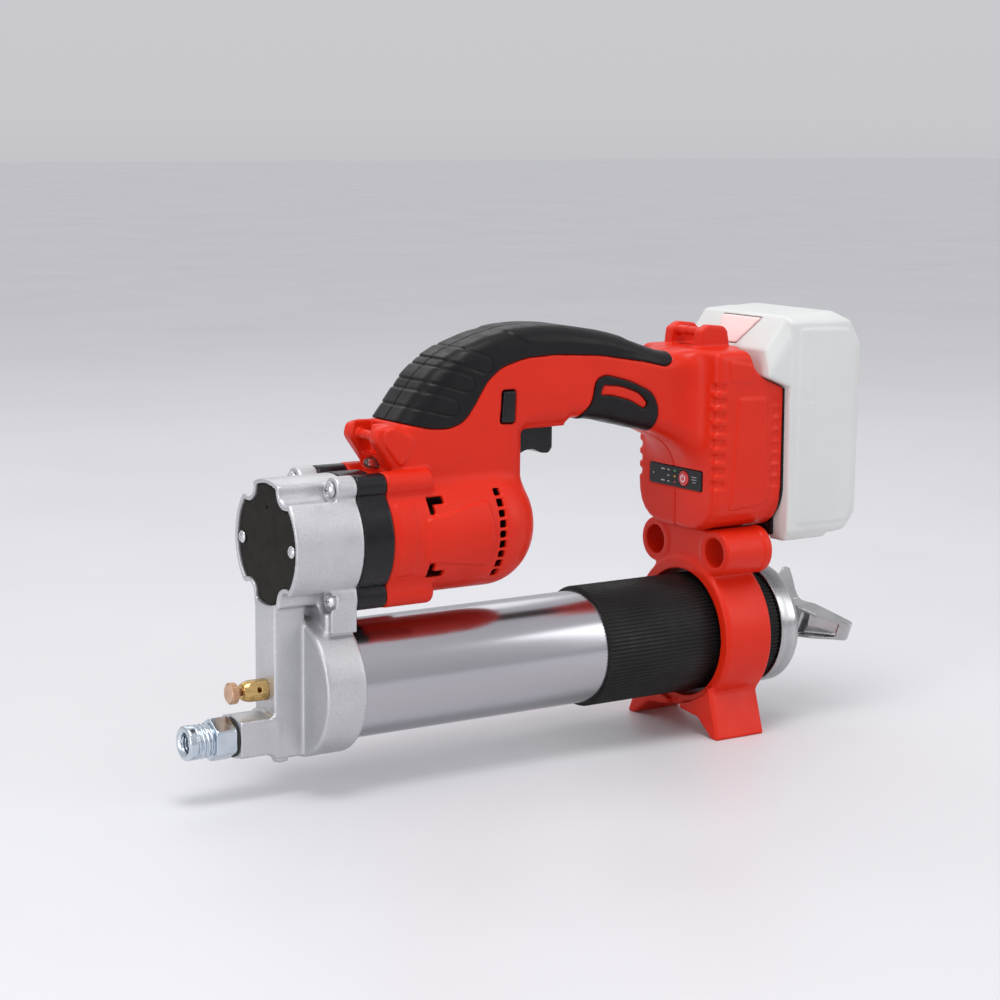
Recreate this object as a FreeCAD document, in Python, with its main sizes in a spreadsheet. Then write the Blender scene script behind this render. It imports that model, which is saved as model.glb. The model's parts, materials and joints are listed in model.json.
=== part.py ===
"""Cordless grease gun: pump head, barrel, clamshell housing, gear train and battery pack.

Frame: +X towards the outlet, +Y to the gun's left, +Z up, soles of the bracket at Z = 0.
Lengths are millimetres.
"""
import FreeCAD, Part
import math
import os
import Sketcher

doc = FreeCAD.newDocument("grease_gun")
Vector = FreeCAD.Vector

SIZES = [
    ("barrel_z", 50, "height of the barrel axis over the soles"),
    ("motor_z", 119, "height of the motor and gear axis"),
    ("tube_r", 28.5, "barrel tube, outer radius"),
    ("tube_wall", 1.2, "barrel tube, wall"),
    ("tube_front", 127, "front end of the barrel tube"),
    ("tube_rear", -149.8, "rear end of the barrel tube"),
    ("sleeve_r", 30.3, "rubber sleeve, outer radius"),
    ("sleeve_front", -29, "front edge of the sleeve"),
    ("cap_r", 31.8, "barrel end cap, outer radius"),
    ("cap_front", -138, "front edge of the end cap"),
    ("cap_rear", -152.8, "rear face of the end cap"),
    ("rod_r", 4, "follower rod radius"),
    ("case_r", 30.7, "gear case, outer radius"),
    ("case_front", 148.5, "front rim of the gear case"),
    ("case_rear", 113, "joint between gear case and spacer ring"),
    ("flange_front", 124, "front of the screw lobes"),
    ("screw_y", 18, "gearbox screws, sideways offset"),
    ("screw_z", 26, "gearbox screws, height offset"),
    ("screw_hole", 2.05, "gearbox screws, radius of their holes"),
    ("cover_screw_y", 24, "cover screws, sideways offset"),
    ("lobe_r", 6, "radius of the screw lobes"),
    ("gear_seat_r", 23.55, "bore that holds the ring gear"),
    ("yoke_room_r", 20.5, "round room in front of the crank"),
    ("cover_r", 28.4, "gear case cover radius"),
    ("cover_back", 145, "back face of the cover"),
    ("block_half", 10, "half width of the pump block"),
    ("block_front", 149.5, "front face of the pump block"),
    ("block_rear", 134.3, "front disc of the barrel socket"),
    ("block_low", 18, "lower end of the pump block"),
    ("socket_r", 33.7, "barrel socket, outer radius"),
    ("plunger_x", 139.6, "axis of the pump plunger"),
    ("plunger_r", 4, "pump plunger radius"),
    ("crank_throw", 6, "crank pin offset, half the pump stroke"),
    ("outlet_z", 30, "height of the outlet axis"),
    ("boss_front", 167, "front face of the outlet boss"),
    ("outlet_end", 192, "front end of the outlet coupler"),
    ("thread_r", 5, "female outlet thread radius"),
    ("bleeder_z", 50.5, "height of the bleeder valve"),
    ("spacer_rear", 97, "joint between spacer ring and motor housing"),
    ("motor_shell_r", 30.5, "motor housing, outer radius"),
    ("motor_shell_end", 7.2, "rear end of the motor housing"),
    ("wall", 3, "housing wall"),
    ("can_r", 18.3, "motor can radius"),
    ("can_front", 97, "front face of the motor can"),
    ("can_rear", 40, "rear face of the motor can"),
    ("shaft_r", 1.6, "motor shaft radius"),
    ("tooth_module", 0.75, "module of every gear"),
    ("planet_offset", 12.375, "planet pin offset from the gear axis"),
    ("pin_r", 2, "planet pin radius"),
    ("handle_half", 17.5, "half width of the handle"),
    ("core_half", 14.3, "half width of the handle under the grips"),
    ("box_front", -90.5, "front face of the battery box"),
    ("box_rear", -133.6, "rear face of the battery box"),
    ("mount_thick", 1.4, "thickness of the battery mount's plate"),
    ("box_half", 33, "half width of the battery box"),
    ("box_low", 106, "bottom of the battery box"),
    ("box_top", 200, "top of the battery box"),
    ("box_corner", 22, "radius of the box's lower corners"),
    ("ring_front", -95.7, "front face of the bracket ring"),
    ("ring_rear", -124.6, "rear face of the bracket ring"),
    ("ring_in", 33.3, "bracket ring bore radius"),
    ("ring_out", 39.85, "bracket ring outer radius"),
    ("store_y", 24.7, "nozzle storage tubes, sideways offset"),
    ("store_z", 95.3, "nozzle storage tubes, height"),
    ("store_r", 7.6, "nozzle storage bore radius"),
    ("store_out", 11.7, "nozzle storage tube outer radius"),
    ("foot_in", 33, "inner edge of a sole"),
    ("foot_out", 38.5, "outer edge of a sole"),
    ("foot_front", -93, "front edge of a foot"),
    ("panel_z", 132.3, "height of the display panel's middle"),
    ("button_y", 7.2, "sideways offset of the mode button"),
    ("pack_half", 37.5, "half width of the battery pack"),
    ("pack_front", -135.3, "front face of the battery pack"),
    ("pack_rear", -181, "rear face of the battery pack"),
    ("pack_low", 98.8, "bottom of the battery pack"),
    ("pack_top", 216.8, "top of the battery pack"),
]

sheet = doc.addObject("Spreadsheet::Sheet", "Sizes")
for row, (alias, number, note) in enumerate(SIZES, start=1):
    sheet.set(f"A{row}", note)
    sheet.set(f"B{row}", str(number))
    sheet.setAlias(f"B{row}", alias)
doc.recompute()


class Size:
    """A length with the sheet expression that it comes from."""

    def __init__(self, value, text):
        self.value = value
        self.text = text

    def __add__(self, other):
        return Size(self.value + value_of(other), f"({self.text} + {text_of(other)})")

    def __sub__(self, other):
        return Size(self.value - value_of(other), f"({self.text} - {text_of(other)})")

    def __rsub__(self, other):
        return Size(value_of(other) - self.value, f"({text_of(other)} - {self.text})")

    def __mul__(self, other):
        return Size(self.value * value_of(other), f"({self.text} * {text_of(other)})")

    def __neg__(self):
        return Size(-self.value, f"(0 - {self.text})")

    __radd__ = __add__
    __rmul__ = __mul__


def value_of(size):
    return size.value if isinstance(size, Size) else size


def text_of(size):
    return size.text if isinstance(size, Size) else f"({size})"


class Sheet:
    """Every alias of the sheet as an attribute."""

    def __init__(self):
        for alias, number, _ in SIZES:
            setattr(self, alias, Size(number, f"Sizes.{alias}"))


d = Sheet()


def bind(target, prop, size):
    """Set a length, and keep it bound to the sheet where it comes from there."""
    if isinstance(size, Size):
        target.setExpression(prop, size.text)


class Via(tuple):
    """A point that an arc passes through on its way to the next point."""


class Ring:
    """A full circle in an outline."""

    def __init__(self, x, y, radius):
        self.x, self.y, self.radius = x, y, radius


def rect(x0, y0, x1, y1):
    return [(x0, y0), (x1, y0), (x1, y1), (x0, y1)]


def point(pair):
    return Vector(value_of(pair[0]), value_of(pair[1]), 0)


def fix(sketch, geometry, end, pair):
    """Hold one point of the sketch at its two distances from the origin."""
    for kind, size in (("DistanceX", pair[0]), ("DistanceY", pair[1])):
        index = sketch.addConstraint(
            Sketcher.Constraint(kind, -1, 1, geometry, end, value_of(size)))
        bind(sketch, f"Constraints[{index}]", size)


def draw(sketch, outline):
    """Draw a closed outline: a Ring, or points joined by lines and by arcs through Via points."""
    if isinstance(outline, Ring):
        circle = Part.Circle(point((outline.x, outline.y)), Vector(0, 0, 1), value_of(outline.radius))
        index = sketch.addGeometry(circle, False)
        fix(sketch, index, 3, (outline.x, outline.y))
        radius = sketch.addConstraint(Sketcher.Constraint("Radius", index, value_of(outline.radius)))
        bind(sketch, f"Constraints[{radius}]", outline.radius)
        return
    corners = [p for p in outline if not isinstance(p, Via)]
    position = -1
    for i, pair in enumerate(outline):
        if isinstance(pair, Via):
            continue
        position += 1
        start = pair
        end = corners[(position + 1) % len(corners)]
        through = outline[(i + 1) % len(outline)]
        if isinstance(through, Via):
            bend = (point(through) - point(start)).cross(point(end) - point(through)).z
            ends = (start, end) if bend > 0 else (end, start)
            index = sketch.addGeometry(Part.Arc(point(ends[0]), point(through), point(ends[1])), False)
            fix(sketch, index, 1, ends[0])
            fix(sketch, index, 2, ends[1])
            sketch.addConstraint(Sketcher.Constraint("Radius", index, sketch.Geometry[index].Radius))
        else:
            index = sketch.addGeometry(Part.LineSegment(point(start), point(end)), False)
            fix(sketch, index, 1, start)
            fix(sketch, index, 2, end)


class Piece:
    """A PartDesign body with its own sketches; lengths are from the body's placement."""

    def __init__(self, label, x=0, y=0, z=0):
        self.body = doc.addObject("PartDesign::Body", label)
        self.body.Label = label
        self.body.AllowCompound = True
        self.body.Placement = FreeCAD.Placement(
            Vector(value_of(x), value_of(y), value_of(z)), FreeCAD.Rotation())
        for axis, size in (("x", x), ("y", y), ("z", z)):
            bind(self.body, f"Placement.Base.{axis}", size)
        doc.recompute()
        self.planes = {f.Role: f for f in self.body.Origin.OriginFeatures}

    def sketch(self, plane, outlines, offset=0, rise=0):
        """A sketch on one of the body's planes, moved along its normal and up its own Y axis."""
        sketch = self.body.newObject("Sketcher::SketchObject", "Sketch")
        sketch.AttachmentSupport = [(self.planes[plane + "_Plane"], "")]
        sketch.MapMode = "FlatFace"
        sketch.AttachmentOffset = FreeCAD.Placement(
            Vector(0, value_of(rise), value_of(offset)), FreeCAD.Rotation())
        bind(sketch, "AttachmentOffset.Base.y", rise)
        bind(sketch, "AttachmentOffset.Base.z", offset)
        for outline in outlines:
            draw(sketch, outline)
        return sketch

    def feature(self, kind, sketch):
        made = self.body.newObject("PartDesign::" + kind, kind)
        made.Profile = sketch
        sketch.Visibility = False
        return made

    def pad(self, plane, outlines, low, high):
        """Add the outlines from low to high along the plane's own world axis."""
        offset = -high if plane == "XZ" else low
        made = self.feature("Pad", self.sketch(plane, outlines, offset))
        made.Length = value_of(high - low)
        bind(made, "Length", high - low)
        return made

    def pocket(self, plane, outlines, low, high):
        """Remove the outlines from low to high along the plane's own world axis."""
        offset = -low if plane == "XZ" else high
        made = self.feature("Pocket", self.sketch(plane, outlines, offset))
        made.Length = value_of(high - low)
        bind(made, "Length", high - low)
        return made

    def turn(self, outline, plane="XZ", about="H_Axis", kind="Revolution", rise=0):
        """Add (or, as a Groove, remove) the outline turned about a sketch axis."""
        sketch = self.sketch(plane, [outline], rise=rise)
        made = self.feature(kind, sketch)
        made.ReferenceAxis = (sketch, [about])
        made.Angle = 360
        return made

    def groove(self, outline, rise=0):
        return self.turn(outline, kind="Groove", rise=rise)

    def keep(self, side):
        """Keep the left (side 1) or right (side -1) half, cut at the middle plane."""
        low, high = (-60, 0) if side > 0 else (0, 60)
        self.pocket("XZ", [rect(-200, -200, 250, 300)], low, high)

    def around(self, feature, count):
        """Repeat a feature evenly about the body's X axis."""
        pattern = self.body.newObject("PartDesign::PolarPattern", "PolarPattern")
        pattern.Originals = [feature]
        pattern.Axis = (self.planes["X_Axis"], [""])
        pattern.Angle = 360
        pattern.Occurrences = count
        self.body.Tip = pattern


def solid(label, shape, x=0, y=0, z=0):
    """A sub-part whose shape comes from a formula."""
    made = doc.addObject("Part::Feature", label)
    made.Label = label
    made.Shape = shape
    made.Placement = FreeCAD.Placement(Vector(value_of(x), value_of(y), value_of(z)), FreeCAD.Rotation())
    return made


def tube(label, x0, x1, outer, inner, y=0, z=0):
    """A plain round tube along X."""
    piece = Piece(label, y=y, z=z)
    piece.turn([(x0, inner), (x1, inner), (x1, outer), (x0, outer)])
    return piece


# ---------------------------------------------------------------- gears

PRESSURE_ANGLE = math.radians(20)
ADDENDUM, DEDENDUM = 0.80, 1.15
BACKLASH = 0.16


def involute(radius, base):
    angle = math.acos(min(1.0, base / radius))
    return math.tan(angle) - angle


def gear_outline(teeth, addendum, dedendum, thinning, phase=0.0):
    """Closed face of an involute gear in the YZ plane; a tooth stands at the phase angle from +Y."""
    module = d.tooth_module.value
    pitch_r = module * teeth / 2
    base_r = pitch_r * math.cos(PRESSURE_ANGLE)
    half = math.pi / (2 * teeth) - thinning / (2 * pitch_r)
    root_r = pitch_r - dedendum * module
    tip_r = pitch_r + addendum * module
    start_r = max(root_r, base_r)
    radii = [start_r + (tip_r - start_r) * step / 3 for step in range(4)]
    flank = [(r, half + involute(pitch_r, base_r) - involute(r, base_r)) for r in radii]
    if root_r < base_r:
        flank.insert(0, (root_r, flank[0][1]))
    points = []
    for tooth in range(teeth):
        middle = phase + 2 * math.pi * tooth / teeth
        side = [(r, middle - a) for r, a in flank] + [(r, middle + a) for r, a in reversed(flank)]
        points += [Vector(0, r * math.cos(a), r * math.sin(a)) for r, a in side]
    return Part.Face(Part.makePolygon(points + points[:1]))


def outer_gear(teeth, length, bore, phase=0.0):
    """A spur gear along +X from the origin."""
    gear = gear_outline(teeth, ADDENDUM, DEDENDUM, BACKLASH, phase).extrude(Vector(length, 0, 0))
    if bore:
        gear = gear.cut(Part.makeCylinder(bore, length, Vector(), Vector(1, 0, 0)))
    return gear


SUN_TEETH, PLANET_TEETH, RING_TEETH = 15, 18, 51
PLANET_COUNT = 3
GEAR_START, GEAR_END = 99.0, 127.5
STAGE_A = (100.5, 111.5)
STAGE_B = (116.2, 127.0)


def gear_train():
    ring_phase = math.pi / RING_TEETH
    gaps = gear_outline(RING_TEETH, DEDENDUM, ADDENDUM, -BACKLASH, ring_phase)
    length = GEAR_END - GEAR_START
    ring = Part.makeCylinder(d.gear_seat_r.value - 0.05, length, Vector(), Vector(1, 0, 0))
    ring = ring.cut(gaps.extrude(Vector(length, 0, 0)))
    solid("ring_gear", ring, GEAR_START, 0, d.motor_z)
    pinion = outer_gear(SUN_TEETH, STAGE_A[1] - STAGE_A[0] + 0.8, d.shaft_r.value)
    solid("motor_pinion", pinion, STAGE_A[0] - 0.8, 0, d.motor_z)
    half_tooth = math.pi / PLANET_TEETH
    for stage, (start, end) in (("a", STAGE_A), ("b", STAGE_B)):
        for number in range(PLANET_COUNT):
            angle = 2 * math.pi * number / PLANET_COUNT
            planet = outer_gear(PLANET_TEETH, end - start, d.pin_r.value + 0.05, half_tooth)
            solid(f"planet_{stage}{number + 1}", planet, start,
                  d.planet_offset.value * math.cos(angle),
                  d.motor_z.value + d.planet_offset.value * math.sin(angle))


def planet_pins(start, end):
    """Three pins along X on the planet circle."""
    pins = []
    for number in range(PLANET_COUNT):
        angle = 2 * math.pi * number / PLANET_COUNT
        offset = d.planet_offset.value
        base = Vector(start, offset * math.cos(angle), offset * math.sin(angle))
        pins.append(Part.makeCylinder(d.pin_r.value, end - start, base, Vector(1, 0, 0)))
    return pins


CARRIER_DISC = (112.0, 115.6)
CARRIER_DISC_R = 15.5
CRANK_DISC = (128.0, 134.0)
CRANK_DISC_R = 17.0
CRANK_PIN_R = 3.0
CRANK_PIN_END = 137.2


def carriers():
    """Stage carrier with the second sun, and the crank carrier with its crank pin."""
    along = Vector(1, 0, 0)
    disc = Part.makeCylinder(CARRIER_DISC_R, CARRIER_DISC[1] - CARRIER_DISC[0],
                             Vector(CARRIER_DISC[0], 0, 0), along)
    sun = outer_gear(SUN_TEETH, STAGE_B[1] - CARRIER_DISC[1] + 0.2, 0)
    sun.translate(Vector(CARRIER_DISC[1] - 0.2, 0, 0))
    stage = disc.fuse([sun] + planet_pins(STAGE_A[0], CARRIER_DISC[0] + 0.5))
    solid("stage_carrier", stage, 0, 0, d.motor_z)
    crank = Part.makeCylinder(CRANK_DISC_R, CRANK_DISC[1] - CRANK_DISC[0],
                              Vector(CRANK_DISC[0], 0, 0), along)
    pin = Part.makeCylinder(CRANK_PIN_R, CRANK_PIN_END - CRANK_DISC[1] + 1,
                            Vector(CRANK_DISC[1] - 1, d.crank_throw.value, 0), along)
    crank = crank.fuse([pin] + planet_pins(STAGE_B[0], CRANK_DISC[0] + 0.5))
    solid("crank_carrier", crank, 0, 0, d.motor_z)


def motor():
    can = Piece("motor_can", z=d.motor_z)
    can.turn([(d.can_rear, 0), (d.can_front, 0), (d.can_front, d.can_r), (d.can_rear, d.can_r)])
    can.pad("YZ", [Ring(0, 0, 6.5)], d.can_front, d.can_front + 2)
    can.groove([(d.can_rear + 1.5, 0), (d.can_front - 1.5, 0),
                (d.can_front - 1.5, d.can_r - 1.5), (d.can_rear + 1.5, d.can_r - 1.5)])
    can.pocket("YZ", [Ring(0, 0, d.shaft_r + 0.05)], d.can_rear - 1, d.can_front + 3)
    rotor = Piece("motor_rotor", z=d.motor_z)
    rotor.turn([(22, 0), (111, 0), (111, d.shaft_r), (92, d.shaft_r), (92, 5), (86, 5),
                (86, 14.5), (50, 14.5), (50, d.shaft_r), (22, d.shaft_r)])
    fan = Piece("motor_fan", z=d.motor_z)
    fan.turn([(24, d.shaft_r), (35, d.shaft_r), (35, 4), (25.5, 5), (25.5, 17), (24, 17)])
    blade = fan.pad("XZ", [rect(25.3, 4, 32, 16.5)], -0.6, 0.6)
    fan.around(blade, 9)
    tube("crank_bearing", CRANK_DISC[0], CRANK_DISC[1] - 1, d.gear_seat_r - 0.05,
         CRANK_DISC_R + 0.05, z=d.motor_z)


# ---------------------------------------------------------------- pump head

SCREW_CORNERS = [(1, 1), (-1, 1), (-1, -1), (1, -1)]


def notched_disc(radius, notch_r):
    """A disc with a round notch around each gearbox screw."""
    screw = math.hypot(d.screw_y.value, d.screw_z.value)
    angle = math.atan2(d.screw_z.value, d.screw_y.value)
    half = math.acos((radius ** 2 + screw ** 2 - notch_r ** 2) / (2 * radius * screw))
    outline = []
    middles = [angle, math.pi - angle, math.pi + angle, 2 * math.pi - angle]
    for i, middle in enumerate(middles):
        following = middles[(i + 1) % 4] + (2 * math.pi if i == 3 else 0)
        gap = (middle + following) / 2
        outline.append((radius * math.cos(middle - half), radius * math.sin(middle - half)))
        outline.append(Via(((screw - notch_r) * math.cos(middle), (screw - notch_r) * math.sin(middle))))
        outline.append((radius * math.cos(middle + half), radius * math.sin(middle + half)))
        outline.append(Via((radius * math.cos(gap), radius * math.sin(gap))))
    return outline


def screw_rings(radius):
    return [Ring(d.screw_y * sy, d.screw_z * sz, radius) for sy, sz in SCREW_CORNERS]


BOSS_SECTION = [(-10, -8.5), (0, -10.3), (10, -8.5), (10, 8.4), (0, 10.3), (-10, 8.4)]


def pump_head():
    head = Piece("pump_head", z=d.motor_z)
    barrel = d.barrel_z - d.motor_z
    outlet = d.outlet_z - d.motor_z
    bleeder = d.bleeder_z - d.motor_z
    head.pad("YZ", [Ring(0, 0, d.case_r)], d.case_rear, d.case_front)
    for ring in screw_rings(d.lobe_r):
        head.pad("YZ", [ring], d.case_rear, d.flange_front)
    # pump block, barrel socket, and the struts and web that join the socket to the gear case
    head.pad("YZ", [rect(-d.block_half, d.block_low - d.motor_z, d.block_half, -29.5)],
             d.block_rear - 1, d.block_front)
    head.pad("YZ", [Ring(0, barrel, d.socket_r)], d.case_rear + 1, d.block_rear)
    for side in (1, -1):
        strut = rect(side * 13, -41.3, side * 23.5, -21.4)
        head.pad("YZ", [strut], d.case_rear + 0.5, d.flange_front + 2.7)
    head.pad("YZ", [rect(-20, -42, 20, -22)], d.case_rear + 1, d.flange_front + 4)
    # plug under the plunger's bore
    block_bottom = d.block_low - d.motor_z
    head.pad("XY", [Ring(d.plunger_x + 1.4, 0, 4.5)], block_bottom - 3.5, block_bottom + 1)
    head.pad("YZ", [[(y, z + outlet) for y, z in BOSS_SECTION]], d.block_front - 1, d.boss_front)
    # screw heads, screws, gear seat, yoke room and cover seat
    head.pocket("YZ", screw_rings(5.6), d.flange_front, d.case_front + 2)
    head.pocket("YZ", screw_rings(d.screw_hole), d.case_rear - 1, d.flange_front + 1)
    head.pocket("YZ", [Ring(0, 0, d.gear_seat_r)], d.case_rear - 1, 133.2)
    head.pocket("YZ", [Ring(0, 0, d.yoke_room_r)], d.case_rear, d.case_front + 2)
    head.pocket("YZ", [notched_disc(d.cover_r.value + 0.1, 7.9)], d.cover_back, d.case_front + 2)
    # barrel, plunger with its seal, grease passages, outlet and bleeder
    head.pocket("YZ", [Ring(0, barrel, d.tube_r + 0.06)], d.case_rear - 1, 128)
    head.pocket("XY", [Ring(d.plunger_x, 0, d.plunger_r + 0.05)], -95, -15)
    head.pocket("XY", [Ring(d.plunger_x, 0, 5.2)], -26, -15)
    head.pocket("YZ", [Ring(0, barrel, 3)], 127, d.plunger_x)
    head.pocket("YZ", [Ring(0, outlet, 2.5)], d.plunger_x, d.boss_front)
    head.pocket("YZ", [Ring(0, outlet, 5)], 156, d.boss_front + 1)
    head.pocket("YZ", [Ring(0, outlet, 6.55)], 160, d.boss_front + 1)
    head.pocket("YZ", [Ring(0, bleeder, 3.05)], d.plunger_x, d.block_front + 1)
    head.pocket("YZ", [Ring(d.cover_screw_y * side, 0, 1.25) for side in (1, -1)], 137, d.case_front)


def gear_case_parts():
    cover = Piece("gear_case_cover", z=d.motor_z)
    cover.pad("YZ", [notched_disc(d.cover_r.value, 8.0)], d.cover_back, d.case_front - 1)
    screw_holes = [Ring(d.cover_screw_y * side, 0, 1.35) for side in (1, -1)]
    cover.pocket("YZ", screw_holes, d.cover_back - 1, d.case_front)
    spacer = Piece("gearbox_ring", z=d.motor_z)
    spacer.pad("YZ", [Ring(0, 0, d.case_r + 0.3)], d.spacer_rear, d.case_rear)
    for ring in screw_rings(d.lobe_r + 0.3):
        spacer.pad("YZ", [ring], d.spacer_rear, d.case_rear)
    spacer.pocket("YZ", [Ring(0, 0, d.gear_seat_r)], d.spacer_rear - 1, d.case_rear + 1)
    spacer.pocket("YZ", screw_rings(d.screw_hole), d.spacer_rear - 1, d.case_rear + 1)
    seal = Piece("plunger_seal", x=d.plunger_x, z=d.motor_z)
    seal.turn([(d.plunger_r + 0.05, -25.95), (5.15, -25.95), (5.15, -22), (d.plunger_r + 0.05, -22)],
              about="V_Axis")


def plunger():
    """Pump plunger with the slotted yoke that the crank pin drives."""
    piece = Piece("pump_plunger", x=d.plunger_x, z=d.motor_z)
    yoke_back, yoke_front = 137.5 - d.plunger_x, 144 - d.plunger_x
    piece.pad("YZ", [rect(-12.5, -6.5, 12.5, 6.5)], yoke_back, yoke_front)
    piece.pocket("YZ", [rect(-9.6, -3.1, 9.6, 3.1)], yoke_back - 1, yoke_front + 1)
    piece.turn([(0, -60), (d.plunger_r, -60), (d.plunger_r, -12), (1.9, -8), (1.9, -6), (0, -6)],
               about="V_Axis")


def screws(label, places, axis, head, shank):
    """Pan-head screws; places are the seats of the heads, head and shank are (radius, length)."""
    shapes = []
    for place in places:
        top = Part.makeCylinder(head[0], head[1], place, axis)
        stem = Part.makeCylinder(shank[0], shank[1], place, -axis)
        shapes.append(top.fuse(stem).removeSplitter())
    solid(label, Part.makeCompound(shapes))


def head_screws():
    forward = Vector(1, 0, 0)
    corners = [Vector(d.flange_front.value, d.screw_y.value * sy,
                      d.motor_z.value + d.screw_z.value * sz) for sy, sz in SCREW_CORNERS]
    screws("gearbox_screws", corners, forward, (3.6, 2.4), (2.0, 40))
    seats = [Vector(d.case_front.value - 1, side * d.cover_screw_y.value, d.motor_z.value) for side in (1, -1)]
    screws("cover_screws", seats, forward, (2.6, 1.6), (1.2, 8))


def outlet_parts():
    coupler = Piece("outlet_coupler", z=d.outlet_z)
    hex_r = 10.4
    corners = [(hex_r * math.cos(math.radians(a)), hex_r * math.sin(math.radians(a)))
               for a in range(30, 390, 60)]
    coupler.turn([(160, 0), (d.boss_front + 2, 0), (d.boss_front + 2, 6.5), (160, 6.5)])
    coupler.pad("YZ", [corners], d.boss_front + 1.3, 179)
    coupler.turn([(179, 0), (d.outlet_end, 0), (d.outlet_end, 7.4), (191, 8.3), (184, 8.3),
                  (183, 6.9), (179, 6.9)])
    coupler.pocket("YZ", [Ring(0, 0, d.thread_r)], 178, d.outlet_end + 1)
    coupler.pocket("YZ", [Ring(0, 0, 2.5)], 159, 179)
    coupler.pocket("YZ", [Ring(0, 0, 4.9)], 159, 171)
    tube("coupler_seal", d.boss_front, d.boss_front + 1.3, 10.5, 6.55, z=d.outlet_z)
    ball = doc.addObject("Part::Sphere", "check_ball")
    ball.Radius = 4
    ball.Placement.Base = Vector(159.2, 0, d.outlet_z.value)
    bind(ball, "Placement.Base.z", d.outlet_z)
    body = Piece("bleeder_body", z=d.bleeder_z)
    body.turn([(144.5, 1.55), (162, 1.55), (162, 4.8), (157, 5.4), (d.block_front, 5.4),
               (d.block_front, 3), (144.5, 3)])
    body.pocket("XY", [Ring(157, 0, 1.2)], -7, 0)
    knob = Piece("bleeder_knob", z=d.bleeder_z)
    knob.turn([(146, 0), (168.6, 0), (168.6, 4.4), (168, 5), (162.4, 5), (162.4, 1.5), (146, 1.5)])


# ---------------------------------------------------------------- barrel

FOLLOWER_FRONT = 116.0
SPRING_FRONT = 104.0
ROD_END = -175.0
ARM_TILT = -22    # the T-handle rests a little turned about the rod, in degrees


def barrel():
    inner = d.tube_r - d.tube_wall
    tube("barrel_tube", d.tube_rear, d.tube_front, d.tube_r, inner, z=d.barrel_z)
    tube("barrel_sleeve", d.cap_front + 0.2, d.sleeve_front, d.sleeve_r, d.tube_r, z=d.barrel_z)
    tube("barrel_seal", d.tube_front, 127.7, d.tube_r, inner - 3, z=d.barrel_z)
    cap = Piece("end_cap", z=d.barrel_z)
    cap.turn([(d.cap_rear, 7), (d.tube_rear, 7), (d.tube_rear, d.tube_r + 0.02),
              (d.cap_front, d.tube_r + 0.02), (d.cap_front, d.cap_r), (d.cap_rear + 2, d.cap_r),
              (d.cap_rear, d.cap_r - 2)])
    tube("rod_bush", d.cap_rear - 1.5, d.tube_rear + 1.5, 6.98, d.rod_r + 0.06, z=d.barrel_z)
    rod = Piece("follower_rod", z=d.barrel_z)
    rod.turn([(ROD_END, 0), (FOLLOWER_FRONT - 2, 0), (FOLLOWER_FRONT - 2, d.rod_r), (ROD_END, d.rod_r)])
    tube("follower_plate", SPRING_FRONT, SPRING_FRONT + 2, inner - 2, d.rod_r + 0.02, z=d.barrel_z)
    cup = Piece("follower_cup", z=d.barrel_z)
    cup.turn([(SPRING_FRONT + 2, d.rod_r + 0.02), (SPRING_FRONT + 2, inner - 0.4),
              (FOLLOWER_FRONT, inner - 0.1), (FOLLOWER_FRONT, inner - 2.5), (FOLLOWER_FRONT - 6, inner - 4),
              (FOLLOWER_FRONT - 6, d.rod_r + 0.02)])
    handle = Piece("t_handle", z=d.barrel_z)
    handle.pad("XY", [[(-172, 8), (-180, 28.5), (-187, 30.8), (-192, 27), (-184, 6), (-184, -6),
                       (-192, -27), (-187, -30.8), (-180, -28.5), (-172, -8)]], -9, 15)
    # the arms rise outwards in a shallow V and get thinner towards their ends
    for root, tip, clear in ((8.6, 14.3, 30), (-8.6, 2.9, -20)):
        handle.pocket("YZ", [[(-36, clear), (-36, tip), (0, root), (36, tip), (36, clear)]], -200, -160)
    handle.turn([(-171, d.rod_r), (-169.5, 6.5), (-182, 8), (-184.5, 6), (-184.5, 0),
                 (ROD_END, 0), (ROD_END, d.rod_r)])
    handle.pocket("YZ", [Ring(0, 0, d.rod_r)], ROD_END, -160)
    handle.body.Placement.Rotation = FreeCAD.Rotation(Vector(1, 0, 0), ARM_TILT)


def coil(label, place, axis, radius, wire_r, length, turns):
    """A helical spring from its place along the axis."""
    path = Part.makeHelix(length / turns, length, radius)
    section = Part.Wire(Part.makeCircle(wire_r, Vector(radius, 0, 0), Vector(0, 1, 0)))
    spring = solid(label, Part.Wire(path).makePipeShell([section], True, True))
    spring.Placement = FreeCAD.Placement(place, FreeCAD.Rotation(Vector(0, 0, 1), axis))


def springs():
    forward = Vector(1, 0, 0)
    coil("follower_spring", Vector(-148, 0, d.barrel_z.value), forward, 21, 1.2, 250.6, 24)
    coil("check_spring", Vector(163.8, 0, d.outlet_z.value), forward, 3.2, 0.4, 6.6, 5)
    coil("trigger_spring", Vector(2, 0, 172.5), Vector(0, 0, 1), 3, 0.35, 7.4, 6)


# ---------------------------------------------------------------- bracket

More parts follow.
